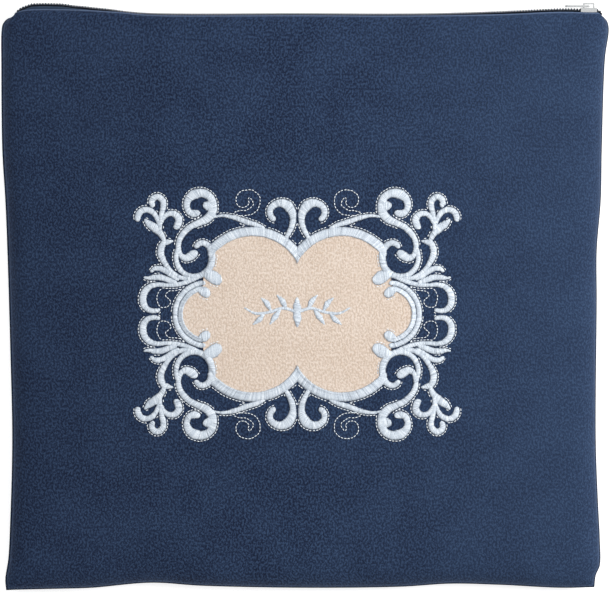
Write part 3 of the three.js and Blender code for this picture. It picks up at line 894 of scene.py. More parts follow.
@dataclass
class Chart:
    """The squared chart that the embroidery is drawn on, and its place on the bag."""

    form: BagForm
    cell: float = 0.593
    left: float = 4.8
    below: float = 10.5

    def laid(self, out: np.ndarray, up: np.ndarray, lift: np.ndarray, signs: tuple) -> np.ndarray:
        """Lays points of the chart on the front wall.

        Args:
            out: Cells outward from the middle.
            up: Cells upward from the middle.
            lift: Height over the cloth, in millimetres.
            signs: Signs of the quarter, outward to the left and upward.

        Returns:
            The points, in millimetres.
        """
        x = -signs[0] * out * self.cell - self.left
        y = signs[1] * up * self.cell - self.below
        return np.stack([x, y, self.form.front_height(x, y) + lift], axis=-1)


@dataclass
class CreamPatch:
    """The cream patch under the embroidery: six lobes cut from one sheet."""

    chart: Chart
    thickness: float = 0.8
    spokes: int = 240
    rings: int = 44
    hub: float = 0.02
    lobes: tuple = ((44.5, 28.0, 52.2), (90.5, 0.0, 25.6))
    under_ring: float = 49.9
    drawn_in_from: float = 34.0
    drawn_in_over: float = 5.0
    soft_edge: float = 2.4

    def reach(self, angle: np.ndarray) -> np.ndarray:
        """Works out how far the patch reaches from its middle.

        Args:
            angle: Directions, in radians from the outward one.

        Returns:
            The reach in each direction, in chart cells.
        """
        out, up = np.abs(np.cos(angle)), np.abs(np.sin(angle))
        past = np.degrees(np.arctan2(up, out)) - self.drawn_in_from
        drawn_in = np.clip(past / self.drawn_in_over, 0, 1)
        reaches = []
        for lobe_out, lobe_up, radius in self.lobes:
            if lobe_up > 0:
                radius = self.under_ring + (radius - self.under_ring) * drawn_in
            along = out * lobe_out + up * lobe_up
            spare = along**2 - (lobe_out**2 + lobe_up**2 - radius**2)
            reaches.append(np.where(spare > 0, along + np.sqrt(np.maximum(spare, 0)), 0))
        return np.max(reaches, axis=0)

    def area(self) -> float:
        """Works out the patch's flat area.

        Returns:
            The area, in square metres.
        """
        angle = np.linspace(0, 2 * np.pi, 720, endpoint=False)
        cells = float(np.sum(self.reach(angle) ** 2) / 2 * (angle[1] - angle[0]))
        return cells * (self.chart.cell * MM) ** 2

    def cover(self, out: np.ndarray, up: np.ndarray) -> np.ndarray:
        """Works out how much the patch lifts what is sewn over it.

        Args:
            out: Cells outward from the middle.
            up: Cells upward from the middle.

        Returns:
            The lift, in millimetres.
        """
        inside = self.reach(np.arctan2(up, out)) - np.hypot(out, up)
        return self.thickness * eased(0.5 + inside / self.soft_edge)

    def build(self, name: str, finish: Material) -> Object:
        """Makes the patch as a closed sheet laid on the front wall.

        Args:
            name: The piece's name.
            finish: Its material.

        Returns:
            The new object.
        """
        angle = np.linspace(0, 2 * np.pi, self.spokes, endpoint=False)
        reach = self.reach(angle)[None, :] * np.linspace(self.hub, 1.0, self.rings)[:, None]
        out, up = reach * np.cos(angle), reach * np.sin(angle)
        lift = np.full(out.shape, self.chart.form.clearance / 2)
        low = self.chart.laid(out, up, lift, (1, 1)).reshape(-1, 3)
        high = low + np.array([0.0, 0.0, self.thickness])
        size = self.rings * self.spokes
        faces = grid_quads(self.rings, self.spokes, ring=True)
        hub = np.arange(self.spokes)
        edge = size - self.spokes + hub
        side = np.stack([edge + size, np.roll(edge, -1) + size, np.roll(edge, -1), edge], axis=-1)
        collar = np.stack([hub, np.roll(hub, -1), np.roll(hub, -1) + size, hub + size], axis=-1)
        pile = Pile()
        pile.add(np.vstack([low, high]), np.vstack([faces, faces[:, ::-1] + size, side, collar]))
        return pile.build(name, finish)


def outward(points: np.ndarray, quads: np.ndarray) -> np.ndarray:
    """Turns the faces of a closed shape outward.

    Args:
        points: Its points.
        quads: Its faces.

    Returns:
        The faces, turned over if they faced inward.
    """
    a, b, c, d = (points[quads[:, place]] for place in range(4))
    volume = np.einsum("ij,ij->", a, np.cross(b, c)) + np.einsum("ij,ij->", a, np.cross(c, d))
    return quads if volume > 0 else quads[:, ::-1]


# Strokes of one quarter of the scrollwork: rows of cells outward, cells upward and width
BIG_SCROLL = [
    (100.8, 63.6, 8), (106, 58.5, 9.5), (111.5, 56, 7.5), (116.5, 59, 5.5), (118.8, 67.5, 5.5),
    (116.8, 76.3, 6), (108, 86.5, 6.5), (99.5, 90.8, 7), (91, 94.8, 8.5), (85.5, 101, 9.5),
    (84.6, 110, 9), (87.7, 117.6, 8), (95.5, 121.2, 9), (103, 119.6, 10.5), (108.8, 114.8, 8),
    (110.4, 108, 6.6), (107.8, 102.2, 6.6), (103.6, 100.6, 8), (100.2, 101.8, 8.4),
    (98.4, 103.6, 7)]
HEAD_BUMP = [(83.5, 107, 8), (89, 108, 10.5), (94.3, 108, 9)]
BORDER_LEAF = [(84.5, 97, 2), (74.5, 98.5, 3.4), (63, 96.5, 5), (51.5, 92.5, 6), (40, 89, 5),
               (32, 85.5, 3)]
MIDDLE_VOLUTE = [
    (12, 75, 4), (8.6, 81, 5.2), (5.4, 88, 6), (4.2, 95, 6.6), (5, 101.5, 8.4),
    (9, 107.8, 10.6), (15, 110.9, 9.2), (21.6, 110, 7.4), (26.4, 105.8, 6.6),
    (27.2, 100.5, 6.4), (25, 96.4, 6.4), (21.4, 94.6, 6.2)]
FLEURON_LOOP = [(137.5, 82, 5), (137, 93, 4.5), (135.5, 101, 5.5), (133.8, 108.5, 6.3),
                (134.5, 113.5, 6.5), (139.2, 117.4, 6.6), (143.8, 115.8, 6.6), (145.4, 111.8, 6.6),
                (143.4, 107, 5)]
LEFT_PETAL = [(137.5, 88, 4), (140.5, 96.5, 5), (145, 102.4, 6), (151.5, 104.6, 6.2),
              (157, 102.2, 6.6), (159.3, 97.3, 6.6), (158.8, 92.6, 5.4)]
RIGHT_PETAL = [(137, 90, 4), (132.5, 98, 5.5), (127, 100.6, 5.8), (121.8, 99.4, 7),
               (118.4, 94.8, 7.6), (119.2, 90, 7.4), (121.8, 84.8, 6.6)]
STEM_LEAF = [(153, 95, 2.4), (148, 90, 7.5), (142, 86, 9), (136.5, 80.5, 6.5), (132.3, 73, 4.5)]
THORN = [(134.5, 71, 8), (128.5, 72.6, 5), (123.8, 73.3, 1.4)]
STEM = [(131.8, 74.5, 5), (135.4, 67.8, 6.8), (136.4, 61.4, 7.2), (134.6, 55.4, 6.4),
        (131.6, 50, 5.6), (128.5, 45.5, 5), (123.5, 40.5, 5), (116, 36.4, 5), (106, 35.6, 4.5)]
UPPER_SPRAY = [(146.6, 42, 3), (143, 45.2, 5), (138, 45.8, 6), (131.2, 43, 6), (124.5, 38, 5),
               (118, 34.5, 3.5)]
LOWER_SPRAY = [(153.6, 36.8, 1.8), (149, 36, 4), (143, 36.8, 6), (136, 36.6, 6.6),
               (128.3, 34, 6), (120, 31, 4.5)]
SIDE_SCROLL = [
    (98, 37, 3), (105, 34.4, 5), (113, 31.4, 5), (122, 29.4, 4.6), (131, 29, 4.4), (140, 29.6, 5),
    (147.4, 27.6, 6), (152.4, 22.5, 7), (154.2, 16, 7.4), (153.2, 9.5, 7), (149.5, 5, 6),
    (144.5, 3.4, 5.4), (139.5, 4, 4.6), (137.4, 5.6, 3)]
TEAR_BUD = [(95, 40.4, 7), (90, 39.2, 10.4), (85.2, 37.4, 13.4), (80.4, 35.6, 14), (75, 34.8, 12.4)]
ROUND_BUD = [(99, 24.4, 6), (95.4, 23.2, 10), (91.5, 21.8, 11.2), (86.6, 20.6, 10.4)]
RING = [(101.4, 65.6, 5.4), (99.4, 69.4, 6), (95, 71.2, 6.2), (89.6, 69, 6.6), (86.2, 63.6, 7),
        (85, 56.4, 7.4), (86.6, 48.4, 7.4), (91, 42.2, 7), (97.4, 38.6, 6.4), (105, 37.8, 6),
        (112.4, 40.4, 5.6), (118, 46, 5.6), (120.8, 53.4, 5.4), (120.6, 61, 5.2), (118.6, 68, 4)]
# Curls drawn in running stitch alone: rows of cells outward and upward
TOP_CURL = [
    (63.4, 98.2), (51.4, 98.8), (46, 99.7), (41.2, 102.6), (38.2, 107), (37.1, 112.4),
    (37.9, 117.8), (41.2, 121.6), (46, 124), (52.5, 124), (56.4, 122.7), (60.7, 117.8),
    (61.2, 114.6), (60.7, 110.8), (57.4, 107.2), (53.6, 106.7), (50.4, 108.1), (48.2, 111.3),
    (49, 113.5), (48.2, 116.5), (46, 115.1), (43.9, 111.3), (44.4, 108.6), (47.7, 105.9),
    (51.5, 103.7), (57.4, 103.5), (66.1, 100.5)]
SIDE_CURL = [
    (116.2, 24.6), (122, 23.7), (127.7, 23.2), (131.1, 20.6), (131.7, 18.2), (128.4, 15.4),
    (126.4, 12.5), (128.4, 8.5), (132.4, 6.8), (137.4, 7.7), (139.8, 12.5), (140, 18.2),
    (138, 23.4), (134, 26.6)]


@dataclass(frozen=True)
class Arc:
    """A stroke along a circle, in chart cells and degrees from the outward direction."""

    out: float
    up: float
    radius: float
    start: float
    end: float
    width: float

    def rows(self) -> list:
        """Draws the arc as a stroke.

        Returns:
            Rows of cells outward, cells upward and width.
        """
        count = max(4, round(abs(math.radians(self.end - self.start)) * self.radius / 6))
        turn = np.radians(np.linspace(self.start, self.end, count + 1))
        out, up = self.out + self.radius * np.cos(turn), self.up + self.radius * np.sin(turn)
        return [(*place, self.width) for place in zip(out, up)]


LOBE_BORDER = Arc(44.5, 28, 54.7, 152.2, 44, 9.8)
BORDER_END = [(85.8, 61.5, 7.5), (86.6, 57.5, 6)]
INNER_BAND = Arc(90.5, 0, 26.3, -3, 84, 5.4)
OUTER_BAND = Arc(90.5, 0, 31.6, -3, 88, 5.6)


@dataclass
class Stroke:
    """One satin-stitched stroke of the chart."""

    rows: list
    tall: float = 1.1
    lift: float = 0.15
    outline: tuple = (-1, 1)
    mitred: bool = False
    least_half: float = 0.4
    tip: float = 0.0004

    def __post_init__(self) -> None:
        """Draws its middle line."""
        self.line = SmoothLine([row[:2] for row in self.rows])
        self.widths = np.array([row[2] for row in self.rows], dtype=float)

    def sampled(self, step: float) -> tuple:
        """Samples the stroke.

        Args:
            step: Cells between samples.

        Returns:
            Its middle points, directions, sideways directions, half-widths rounded off
            at the ends and half-widths as drawn, in cells.
        """
        count = max(8, math.ceil(self.line.length / step))
        share = np.linspace(0, 1, count + 1)
        middle = self.line.at(share)
        along = np.gradient(middle, axis=0)
        along /= np.linalg.norm(along, axis=1, keepdims=True) + TINY
        aside = np.stack([-along[:, 1], along[:, 0]], axis=-1)
        half = np.interp(self.line.knot_at(share), np.arange(len(self.widths)), self.widths) / 2
        from_start = np.full_like(share, np.inf) if self.mitred else share
        to_end = np.minimum(from_start, 1 - share) * self.line.length
        part = np.clip(1 - to_end / np.maximum(half, self.least_half), 0, 1)
        rounded = half * np.sqrt(np.maximum(1 - part**2, self.tip))
        return middle, along, aside, rounded, half


@dataclass
class Sewing:
    """What one embroidered piece is sewn with.

    The signs are those of its quarter, outward to the left and upward. The random
    numbers give the small differences between threads and stitches.
    """

    signs: tuple
    random: np.random.Generator
    pile: Pile = field(default_factory=Pile)


@dataclass
class SatinWork:
    """Satin stitch over padding, and the running stitch that outlines it."""

    chart: Chart
    patch: CreamPatch
    thread_mm: float = 0.54
    rows_a_thread: int = 3
    padding: float = 0.75
    section: int = 11
    fullness: float = 2.1
    dome_power: float = 0.55
    slant: float = 0.22
    slant_spread: float = 0.05
    brightness: tuple = (0.66, 0.17)
    crest_light: float = 0.4
    groove_depth: float = 0.13
    groove_shade: float = 0.55
    ripple_mm: float = 0.03
    fray_mm: float = 0.09
    tuck_mm: float = 0.1
    pinch: float = 0.1
    full_half_mm: float = 1.3
    slimmest: float = 0.12
    stitch_mm: float = 1.45
    stitch_gap_mm: float = 0.54
    stitch_half_mm: float = 0.25
    stitch_off_mm: float = 0.62
    stitch_lift: float = 0.3
    stitch_start: float = 0.2
    stitch_jitter: float = 0.1
    stitch_flatness: float = 0.8
    # The stitches sit near the glint colour: partly the light thread's own colour, partly painted
    # highlight
    stitch_brightness: tuple = (0.96, 0.06)
    stitch_clear: float = 0.62
    stitch_run: tuple = (0.0, 0.12, 0.5, 0.88, 1.0)
    stitch_arch: tuple = (-0.22, 0.02, 0.12, 0.02, -0.22)
    stitch_taper: tuple = (0.25, 0.85, 1.0, 0.85, 0.25)
    straight: float = 0.012
    outline_step: float = 0.6
    solid_step: float = 0.8

    def band(self, stroke: Stroke, sewing: Sewing) -> None:
        """Adds a stroke as threads laid side by side across it.

        Args:
            stroke: The stroke.
            sewing: What it is sewn with.
        """
        cell, random = self.chart.cell, sewing.random
        middle, along, aside, half, _ = stroke.sampled(self.thread_mm / cell / self.rows_a_thread)
        number = np.arange(len(middle))
        thread, groove = number // self.rows_a_thread, (number % self.rows_a_thread == 0) * 1.0
        threads = int(thread[-1]) + 1
        uneven = random.normal(0, self.fray_mm / cell, threads)[thread]
        lean = random.normal(0, self.slant_spread, threads)[thread]
        bright = np.clip(random.normal(*self.brightness, threads), 0, 1)[thread]
        across = np.linspace(-1, 1, self.section)[None, :]
        dome = np.maximum(1 - np.abs(across) ** self.fullness, 0) ** self.dome_power
        reach = (half + uneven * np.clip(half, 0, 1) - self.pinch * groove)[:, None] * across
        forward = (self.slant + lean)[:, None] * reach
        place = middle[:, None, :] + aside[:, None, :] * reach[..., None]
        place = place + along[:, None, :] * forward[..., None]
        if stroke.mitred:
            place = np.maximum(place, 0.0)
        slim = np.clip(half * cell / self.full_half_mm, self.slimmest, 1)[:, None]
        height = self.padding * stroke.tall * slim * dome
        height = height * (1 - self.groove_depth * groove)[:, None]
        height = height + self.ripple_mm * np.sin(9 * across + 5 * bright[:, None])
        height[:, 0] = height[:, -1] = -self.tuck_mm
        height = height + self.patch.cover(place[..., 0], place[..., 1])
        points = self.chart.laid(place[..., 0], place[..., 1], stroke.lift + height, sewing.signs)
        points = points.reshape(-1, 3)
        # Painted highlight along the crest of the dome and painted shade in the grooves between
        # threads
        crest = 1 - self.crest_light + self.crest_light * dome
        shade = bright[:, None] * (1 - self.groove_shade * groove)[:, None] * crest
        quads = grid_quads(len(middle), self.section, ring=True)
        sewing.pile.add(points, outward(points, quads), shade.reshape(-1))

    def stitches(self, out_up: np.ndarray, keep: np.ndarray, lift: float, sewing: Sewing) -> None:
        """Adds running stitches along a path.

        Args:
            out_up: Points of the path, in cells.
            keep: Whether a stitch may lie at each point.
            lift: Height of the thread's middle over the cloth, in millimetres.
            sewing: What they are sewn with.
        """
        steps = np.linalg.norm(np.diff(out_up, axis=0), axis=1) * self.chart.cell
        run = np.concatenate([[0.0], np.cumsum(steps)])
        wide = self.stitch_half_mm * np.array(self.stitch_taper)
        start = self.stitch_start
        while start + self.stitch_mm < run[-1]:
            spots = start + self.stitch_mm * np.array(self.stitch_run)
            start += self.stitch_mm + self.stitch_gap_mm
            if np.interp(spots, run, keep.astype(float)).min() <= 0.9:
                continue
            place = np.stack([np.interp(spots, run, column) for column in out_up.T], axis=-1)
            place = place + sewing.random.normal(0, self.stitch_jitter, 2)
            arch = lift + np.array(self.stitch_arch) + self.patch.cover(place[:, 0], place[:, 1])
            path = self.chart.laid(place[:, 0], place[:, 1], arch, sewing.signs)
            points, quads = ellipse_tube(path, wide, wide * self.stitch_flatness, UP)
            # Partly painted highlight: each stitch takes a shade near the satin's glint colour
            shade = float(np.clip(sewing.random.normal(*self.stitch_brightness), 0, 1))
            sewing.pile.add(points, outward(points, quads), shade)

    def outlines(self, strokes: list, sewing: Sewing) -> None:
        """Adds the running stitch round the outside of joined strokes.

        Args:
            strokes: The strokes.
            sewing: What it is sewn with.
        """
        away = self.stitch_off_mm / self.chart.cell
        every = [stroke.sampled(self.solid_step) for stroke in strokes]
        solid = np.vstack([sample[0] for sample in every])
        reach = np.concatenate([sample[3] for sample in every])
        for stroke in strokes:
            middle, along, aside, _, half = stroke.sampled(self.outline_step)
            turn = np.gradient(np.unwrap(np.arctan2(along[:, 1], along[:, 0]))) / self.outline_step
            turn = np.convolve(np.pad(turn, 6, mode="edge"), np.full(13, 1 / 13), "valid")
            for sign in stroke.outline:
                path = middle + sign * aside * (half + away)[:, None]
                apart = np.linalg.norm(path[:, None, :] - solid[None, :, :], axis=2)
                clear = (apart - reach[None, :]).min(axis=1) > self.stitch_clear * away
                clear &= (path[:, 0] > 0.3) & (path[:, 1] > 0.6) & (sign * turn < self.straight)
                self.stitches(path, clear, self.stitch_lift, sewing)


# Strokes of one quarter, the lowest first, with the height of their padding
PADDED = [(BORDER_LEAF, 1.15), (MIDDLE_VOLUTE, 1.2), (SIDE_SCROLL, 1.1), (RING, 1.3), (STEM, 1.15),
          (UPPER_SPRAY, 1.05), (LOWER_SPRAY, 1.1), (THORN, 0.95), (STEM_LEAF, 1.15),
          (LEFT_PETAL, 1.1), (RIGHT_PETAL, 1.15), (FLEURON_LOOP, 1.25), (BIG_SCROLL, 1.2),
          (HEAD_BUMP, 1.3), (TEAR_BUD, 1.3), (ROUND_BUD, 1.35)]
# The sprig: rows of cells outward, cells upward and width
SPRIG_STEM = [(0, 2, 3.6), (14, 6, 3.4), (28, 2, 3.2), (42, 1, 3), (53, 6.5, 1.6)]
SPRIG_LEAVES = [
    [(11, 5, 2.4), (14, 12, 6.6), (20.5, 19.5, 1.2)],
    [(17, 5, 2.4), (22, -2.5, 6.6), (27.5, -10.5, 1.2)],
    [(26, 3, 2.4), (30, 10.5, 6.4), (36.5, 16.5, 1.2)],
    [(33, 1, 2.4), (38, -5.5, 6), (44.5, -10.5, 1.2)],
]
MIDDLE_LEAVES = [
    [(0, 0, 8), (0, 8, 9), (0, 17, 1.6)],
    [(0, 4, 8), (0, -4, 9), (0, -13, 1.6)],
]


@dataclass
class Embroidery:
    """The scrollwork in four mirrored quarters, and the leaf sprig on the patch."""

    work: SatinWork
    thread: Material
    curl_step: float = 0.6
    curl_lift: float = 0.34
    layer: float = 0.004
    sprig_layer: float = 0.01

    def _strokes(self) -> list:
        """Draws the strokes of one quarter.

        Returns:
            The strokes, the lowest first.
        """
        borders = [Stroke([*LOBE_BORDER.rows(), *BORDER_END], 1.6, outline=(1,), mitred=True),
                   Stroke(OUTER_BAND.rows(), 1.35, outline=(-1,), mitred=True),
                   Stroke(INNER_BAND.rows(), 1.4, outline=(), mitred=True)]
        strokes = [*borders, *(Stroke(table, tall) for table, tall in PADDED)]
        for number, stroke in enumerate(strokes):
            stroke.lift += self.layer * number
        return strokes

    def quarter(self, facing: Facing) -> tuple:
        """Makes one quarter.

        Args:
            facing: Which quarter.

        Returns:
            The satin piece and the running-stitch piece.
        """
        signs, name = facing.value, facing.name.lower()
        random = np.random.default_rng([SEED, signs[0] + 2, signs[1] + 2])
        strokes = self._strokes()
        satin, running = Sewing(signs, random), Sewing(signs, random)
        for stroke in strokes:
            self.work.band(stroke, satin)
        self.work.outlines(strokes, running)
        for curl in (TOP_CURL, SIDE_CURL):
            line = SmoothLine(curl)
            path = line.at(np.linspace(0, 1, round(line.length / self.curl_step)))
            self.work.stitches(path, np.ones(len(path)), self.curl_lift, running)
        return (satin.pile.build(f"satin_{name}", self.thread),
                running.pile.build(f"running_stitch_{name}", self.thread))

    def sprig(self) -> Object:
        """Makes the leaf sprig, whose left half mirrors the right.

        Returns:
            The new object.
        """
        random = np.random.default_rng([SEED, 11])
        pile = Pile()
        for side, tables in ((-1, [SPRIG_STEM, *SPRIG_LEAVES, *MIDDLE_LEAVES]),
                             (1, [SPRIG_STEM, *SPRIG_LEAVES])):
            for number, rows in enumerate(tables):
                stroke = Stroke(rows, 0.95, 0.15 + self.sprig_layer * number)
                self.work.band(stroke, Sewing((side, 1), random, pile))
        return pile.build("satin_sprig", self.thread)


@dataclass
class Zipper:
    """A coil zipper whose chain stands on edge along the top of the bag."""

    form: BagForm
    end_inset: float = 4.2
    slider_inset: float = 12.0
    tail_start: float = 4.9
    tail_stop: float = 1.6
    coil_thickness: float = 2.2
    coil_width: float = 2.8
    pitch: float = 1.69
    wire: float = 0.44
    samples_a_turn: int = 12
    crest_power: float = 1.9
    cord_inset: float = 0.5
    cord_half: float = 0.56
    cord_lump: float = 0.03
    cord_tall: float = 2.0
    proud: float = 0.15
    tilt: float = 0.7
    tape_thickness: float = 0.7
    tape_steps: int = 150
    under_coil: float = 1.4
    inside: float = 9.2
    back_roll: float = 6.0
    bend_rows: tuple = ((0.0, 0.6), (0.2, 0.15))
    bend_end: float = 0.7
    flat_share: float = 0.3

    def _shares(self, from_end: float, to_end: float, count: int) -> np.ndarray:
        """Returns shares of the top edge between two insets."""
        length = self.form.top.length
        return np.linspace(from_end / length, 1 - to_end / length, count)

    def _loops(self, side: Side, from_end: float, to_end: float, pile: Pile) -> None:
        """Winds one run of the coil round its core cord.

        Args:
            side: The half of the chain.
            from_end: Where the run starts, in millimetres from the left end of the edge.
            to_end: Where it stops, in millimetres from the right end.
            pile: The pile that it is added to.
        """
        form, samples = self.form, self.samples_a_turn
        turns = round((form.top.length - from_end - to_end) / self.pitch)
        turn = np.arange(turns * samples + 1) / samples
        origin = form.chain_point(self._shares(from_end, to_end, len(turn)))
        phase = 2 * np.pi * (turn + (0 if side is Side.FRONT else 0.5))
        middle = form.clearance / 2 + self.coil_width / 2
        away = middle + (self.coil_width / 2 - self.wire) * np.cos(phase)
        # Share of the way to each loop's outer crest: sets the loop's reach and its lighter colour
        # there
        outer_crest = 0.5 + 0.5 * np.sin(phase)
        rest = self.proud + side.value * self.tilt - self.coil_thickness / 2
        out = rest + (self.coil_thickness / 2 - self.wire) * (2 * outer_crest**self.crest_power - 1)
        path = np.stack([origin[:, 0], origin[:, 1] + out,
                         form.seam_height + side.value * away], axis=-1)
        size = np.full(len(path), self.wire)
        points, quads = ellipse_tube(path, size, size, np.array([0.02, 0.31, 0.95]))
        pile.add(points, outward(points, quads), np.repeat(outer_crest, 6))
        half_turn = samples // 2
        cord = path[::half_turn].copy()
        cord[:, 1] = origin[::half_turn, 1] + rest - self.cord_inset
        cord[:, 2] = form.seam_height + side.value * middle
        lumpy = self.cord_half + self.cord_lump * np.cos(np.pi * turn[::half_turn])
        points, quads = ellipse_tube(cord, lumpy, lumpy * self.cord_tall, UP, 8)
        pile.add(points, outward(points, quads), 0.1)

    def coil(self, side: Side, name: str, finish: Material) -> Object:
        """Makes one half of the chain as a wound loop for every tooth.

        Args:
            side: The half of the chain.
            name: The piece's name.
            finish: Its material.

        Returns:
            The new object.
        """
        pile = Pile()
        self._loops(side, self.end_inset, self.slider_inset, pile)
        self._loops(side, self.form.top.length - self.tail_start, self.tail_stop, pile)
        return pile.build(name, finish)

    def _section(self, share: float, side: Side) -> np.ndarray:
        """Draws the tape's middle line from the chain to its sewn edge.

        Args:
            share: The place along the top edge.
            side: The half of the chain.

        Returns:
            Rows of X, Y and Z.
        """
        form, half, front = self.form, self.tape_thickness / 2, side is Side.FRONT
        x, y = form.chain_point(np.array([share]))[0]
        fold = form.top.at(np.array([share]))[0][1] - form.wall
        face = y + self.proud + side.value * self.tilt - self.coil_thickness - half
        bend = form.half_opening - 1.5 * form.clearance - half
        u, v = form.shares(np.array([x]), np.array([fold - self.inside]))
        roll = (form.roll if front else self.back_roll) - form.wall
        crown = form.front_crown if front else form.back_crown
        risen = float(form.rise(u, v, roll, crown)[0])
        if not front:
            risen = min(risen, form.seam_height - form.clearance / 2 - form.wall)
        rows = [(face, self.under_coil), (face, 0.5 * (self.under_coil + bend)),
                *((face - back, bend - down) for back, down in self.bend_rows),
                (min(face, fold) - self.bend_end, bend),
                (fold - self.flat_share * self.inside, bend),
                (fold - self.inside, risen - 2 * form.clearance - half)]
        return np.array([(x, y, form.seam_height + side.value * away) for y, away in rows])

    def tape(self, side: Side, name: str, finish: Material) -> tuple:
        """Makes one tape as a closed woven sheet.

        Args:
            side: The half of the chain.
            name: The piece's name.
            finish: Its material.

        Returns:
            The new object, and the length and width of the tape laid flat, in metres.
        """
        share = self._shares(self.end_inset, self.end_inset, self.tape_steps)
        middle = np.array([self._section(place, side) for place in share])
        run = np.gradient(middle, axis=1)
        normal = np.stack([np.zeros(run.shape[:2]), -run[..., 2], run[..., 1]], axis=-1)
        normal /= np.linalg.norm(normal, axis=2, keepdims=True) + TINY
        half = self.tape_thickness / 2
        ring = np.concatenate([middle + half * normal, (middle - half * normal)[:, ::-1]], axis=1)
        count = ring.shape[1]
        points = ring.reshape(-1, 3)
        near = np.array([[k, k + 1, count - 2 - k, count - 1 - k] for k in range(count // 2 - 1)])
        far = near + (len(share) - 1) * count
        quads = outward(points, grid_quads(len(share), count, ring=True))
        pile = Pile()
        pile.add(points, np.vstack([quads, near[:, ::-1], far]))
        across = np.linalg.norm(np.diff(middle, axis=1), axis=2).sum(axis=1).mean()
        long = self.form.top.length - 2 * self.end_inset
        return pile.build(name, finish), (long * MM, float(across) * MM)


# Soft lights: name, place in metres, size in metres, watts and tint
LIGHTS = [("key", (1.15, 0.3, 1.0), 0.9, 22.5, (1.0, 0.99, 0.97)),
          ("fill", (-0.9, 0.9, 1.5), 1.6, 8.5, (0.93, 0.97, 1.0)),
          ("top", (0.1, -0.2, 2.6), 2.0, 7.0, (1.0, 1.0, 1.0))]


@dataclass
class Studio:
    """A pale floor, soft lights and a camera that looks straight down, in metres."""

    distance: float = 4.5
    seen: float = 0.3624
    aim: tuple = (-0.0002, 0.0)
    height: float = 0.014
    sensor_mm: float = 36.0
    floor_size: float = 6.0
    floor_below: float = 0.0005
    floor_glow: float = 0.7
    sky: float = 0.36

    def floor(self) -> None:
        """Makes the floor."""
        material = Look("pale_floor").settle(
            {"Base Color": to_linear("D6D6D6"), "Roughness": 0.9,
             "Emission Color": (1.0, 1.0, 1.0, 1.0), "Emission Strength": self.floor_glow})
        bpy.ops.mesh.primitive_plane_add(size=self.floor_size, location=(0, 0, -self.floor_below))
        plane = bpy.context.object
        plane.name = "floor"
        plane.data.materials.append(material)

    def light(self, name: str, place: tuple, size: float, watts: float, tint: tuple) -> None:
        """Adds a soft light that faces the bag.

        Args:
            name: The light's name.
            place: Where it stands, in metres.
            size: Its width, in metres.
            watts: Its strength.
            tint: Its colour.
        """
        lamp = bpy.data.lights.new(name, "AREA")
        lamp.shape, lamp.size, lamp.energy, lamp.color = "DISK", size, watts, tint
        holder = bpy.data.objects.new(name, lamp)
        holder.location = place
        holder.rotation_euler = (-Vector(place)).to_track_quat("-Z", "Y").to_euler()
        holder.visible_camera = False
        bpy.context.scene.collection.objects.link(holder)

    def camera(self) -> None:
        """Makes the camera and hands it to the scene."""
        seen = bpy.data.cameras.new("camera")
        seen.sensor_width = self.sensor_mm
        seen.lens = self.sensor_mm * self.distance / self.seen
        seen.clip_start, seen.clip_end = 0.05, 20.0
        holder = bpy.data.objects.new("camera", seen)
        holder.location = (*self.aim, self.height + self.distance)
        bpy.context.scene.collection.objects.link(holder)
        bpy.context.scene.camera = holder

    def build(self) -> None:
        """Makes the whole studio."""
        self.floor()
        for row in LIGHTS:
            self.light(*row)
        world = bpy.data.worlds.new("studio")
        world.use_nodes = True
        background = world.node_tree.nodes["Background"]
        background.inputs["Color"].default_value = (1, 1, 1, 1)
        background.inputs["Strength"].default_value = self.sky
        bpy.context.scene.world = world
        bpy.context.scene.view_settings.view_transform = "Standard"
        self.camera()


# Cast parts, with the radius of their edges in millimetres
CAST = (("zipper_slider", 0.22), ("zipper_pull", 0.28))


def dress_metal(finish: Material) -> None:
    """Gives the cast slider and pull their finish and their rounded edges.

    Args:
        finish: The metal.
    """
    for name, width in CAST:
        node = bpy.data.objects[name]
        for slot in node.material_slots:
            slot.material = finish
        bevel = node.modifiers.new("rounded", "BEVEL")
        bevel.width, bevel.segments, bevel.limit_method = width * MM, 3, "ANGLE"
        bevel.angle_limit = math.radians(35)


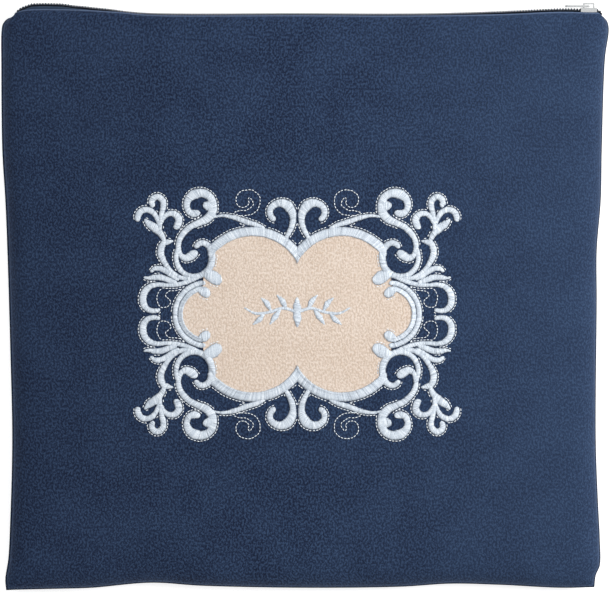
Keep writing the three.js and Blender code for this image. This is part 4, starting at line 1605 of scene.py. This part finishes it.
def hand_over(piece: Object, node: str = None) -> None:
    """Hands a finished piece to the frame, where it rides on the bag.

    Args:
        piece: The piece.
        node: The plain solid that it replaces, if any.
    """
    if node:
        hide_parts(node)
    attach(piece, "bag")
    LOG.info("%s", piece.name)


def main() -> None:
    """Builds the bag, then its studio."""
    logging.basicConfig(level=logging.INFO, format="%(name)s: %(message)s")
    form = BagForm()
    chart = Chart(form)
    # fold and seam colour a painted highlight on the folded edge and a painted shadow on the back's
    # edge; lean sets painted shade, darker left, lighter right
    navy = FauxSuede("navy_suede", crease="0B1932", body="1B2B47", pebble="304462",
                     fold="6A7C9C", painted_seam_shadow="060A12", sheen=0.22, lean=0.2).build()
    cream = FauxSuede("cream_suede", crease="CAB5A3", body="D6C4B5", pebble="E2D3C7",
                      fold="F0E6DC", painted_seam_shadow="B09A88", sheen=0.25, lean=0.0).build()
    thread = SatinThread("silver_thread", groove="727F90", body="BDC9D7", glint="F1F7FD").build()
    weave = WovenTape("navy_tape", low="12243A", high="233C56").build()
    nylon = NylonCoil("navy_coil", dye="060F1C", outer_crest="16293F").build()
    zinc = PlatedZinc("nickel", plate="C6C8C9", dull="A8ABAE").build()

    front = ClothWall(form, Side.FRONT).build("front_cloth", navy)
    back = ClothWall(form, Side.BACK).build("back_cloth", navy)
    hand_over(front, "front_panel")
    hand_over(back, "back_panel")

    lobed = CreamPatch(chart)
    patch = lobed.build("cream_patch", cream)
    hand_over(patch, "applique_panel")
    lobed.area()

    embroidery = Embroidery(SatinWork(chart, lobed), thread)
    for facing in Facing:
        satin, running = embroidery.quarter(facing)
        hand_over(satin, f"scroll_{facing.name.lower()}")
        hand_over(running)
    hand_over(embroidery.sprig(), "centre_sprig")

    zipper = Zipper(form)
    for side in Side:
        word = side.name.lower()
        coil = zipper.coil(side, f"coil_loops_{word}", nylon)
        tape, tape_flat = zipper.tape(side, f"woven_tape_{word}", weave)
        hand_over(coil, f"zipper_coil_{word}")
        hand_over(tape, f"zipper_tape_{word}")
    dress_metal(zinc)
    Studio().build()


if __name__ == "__main__":
    main()
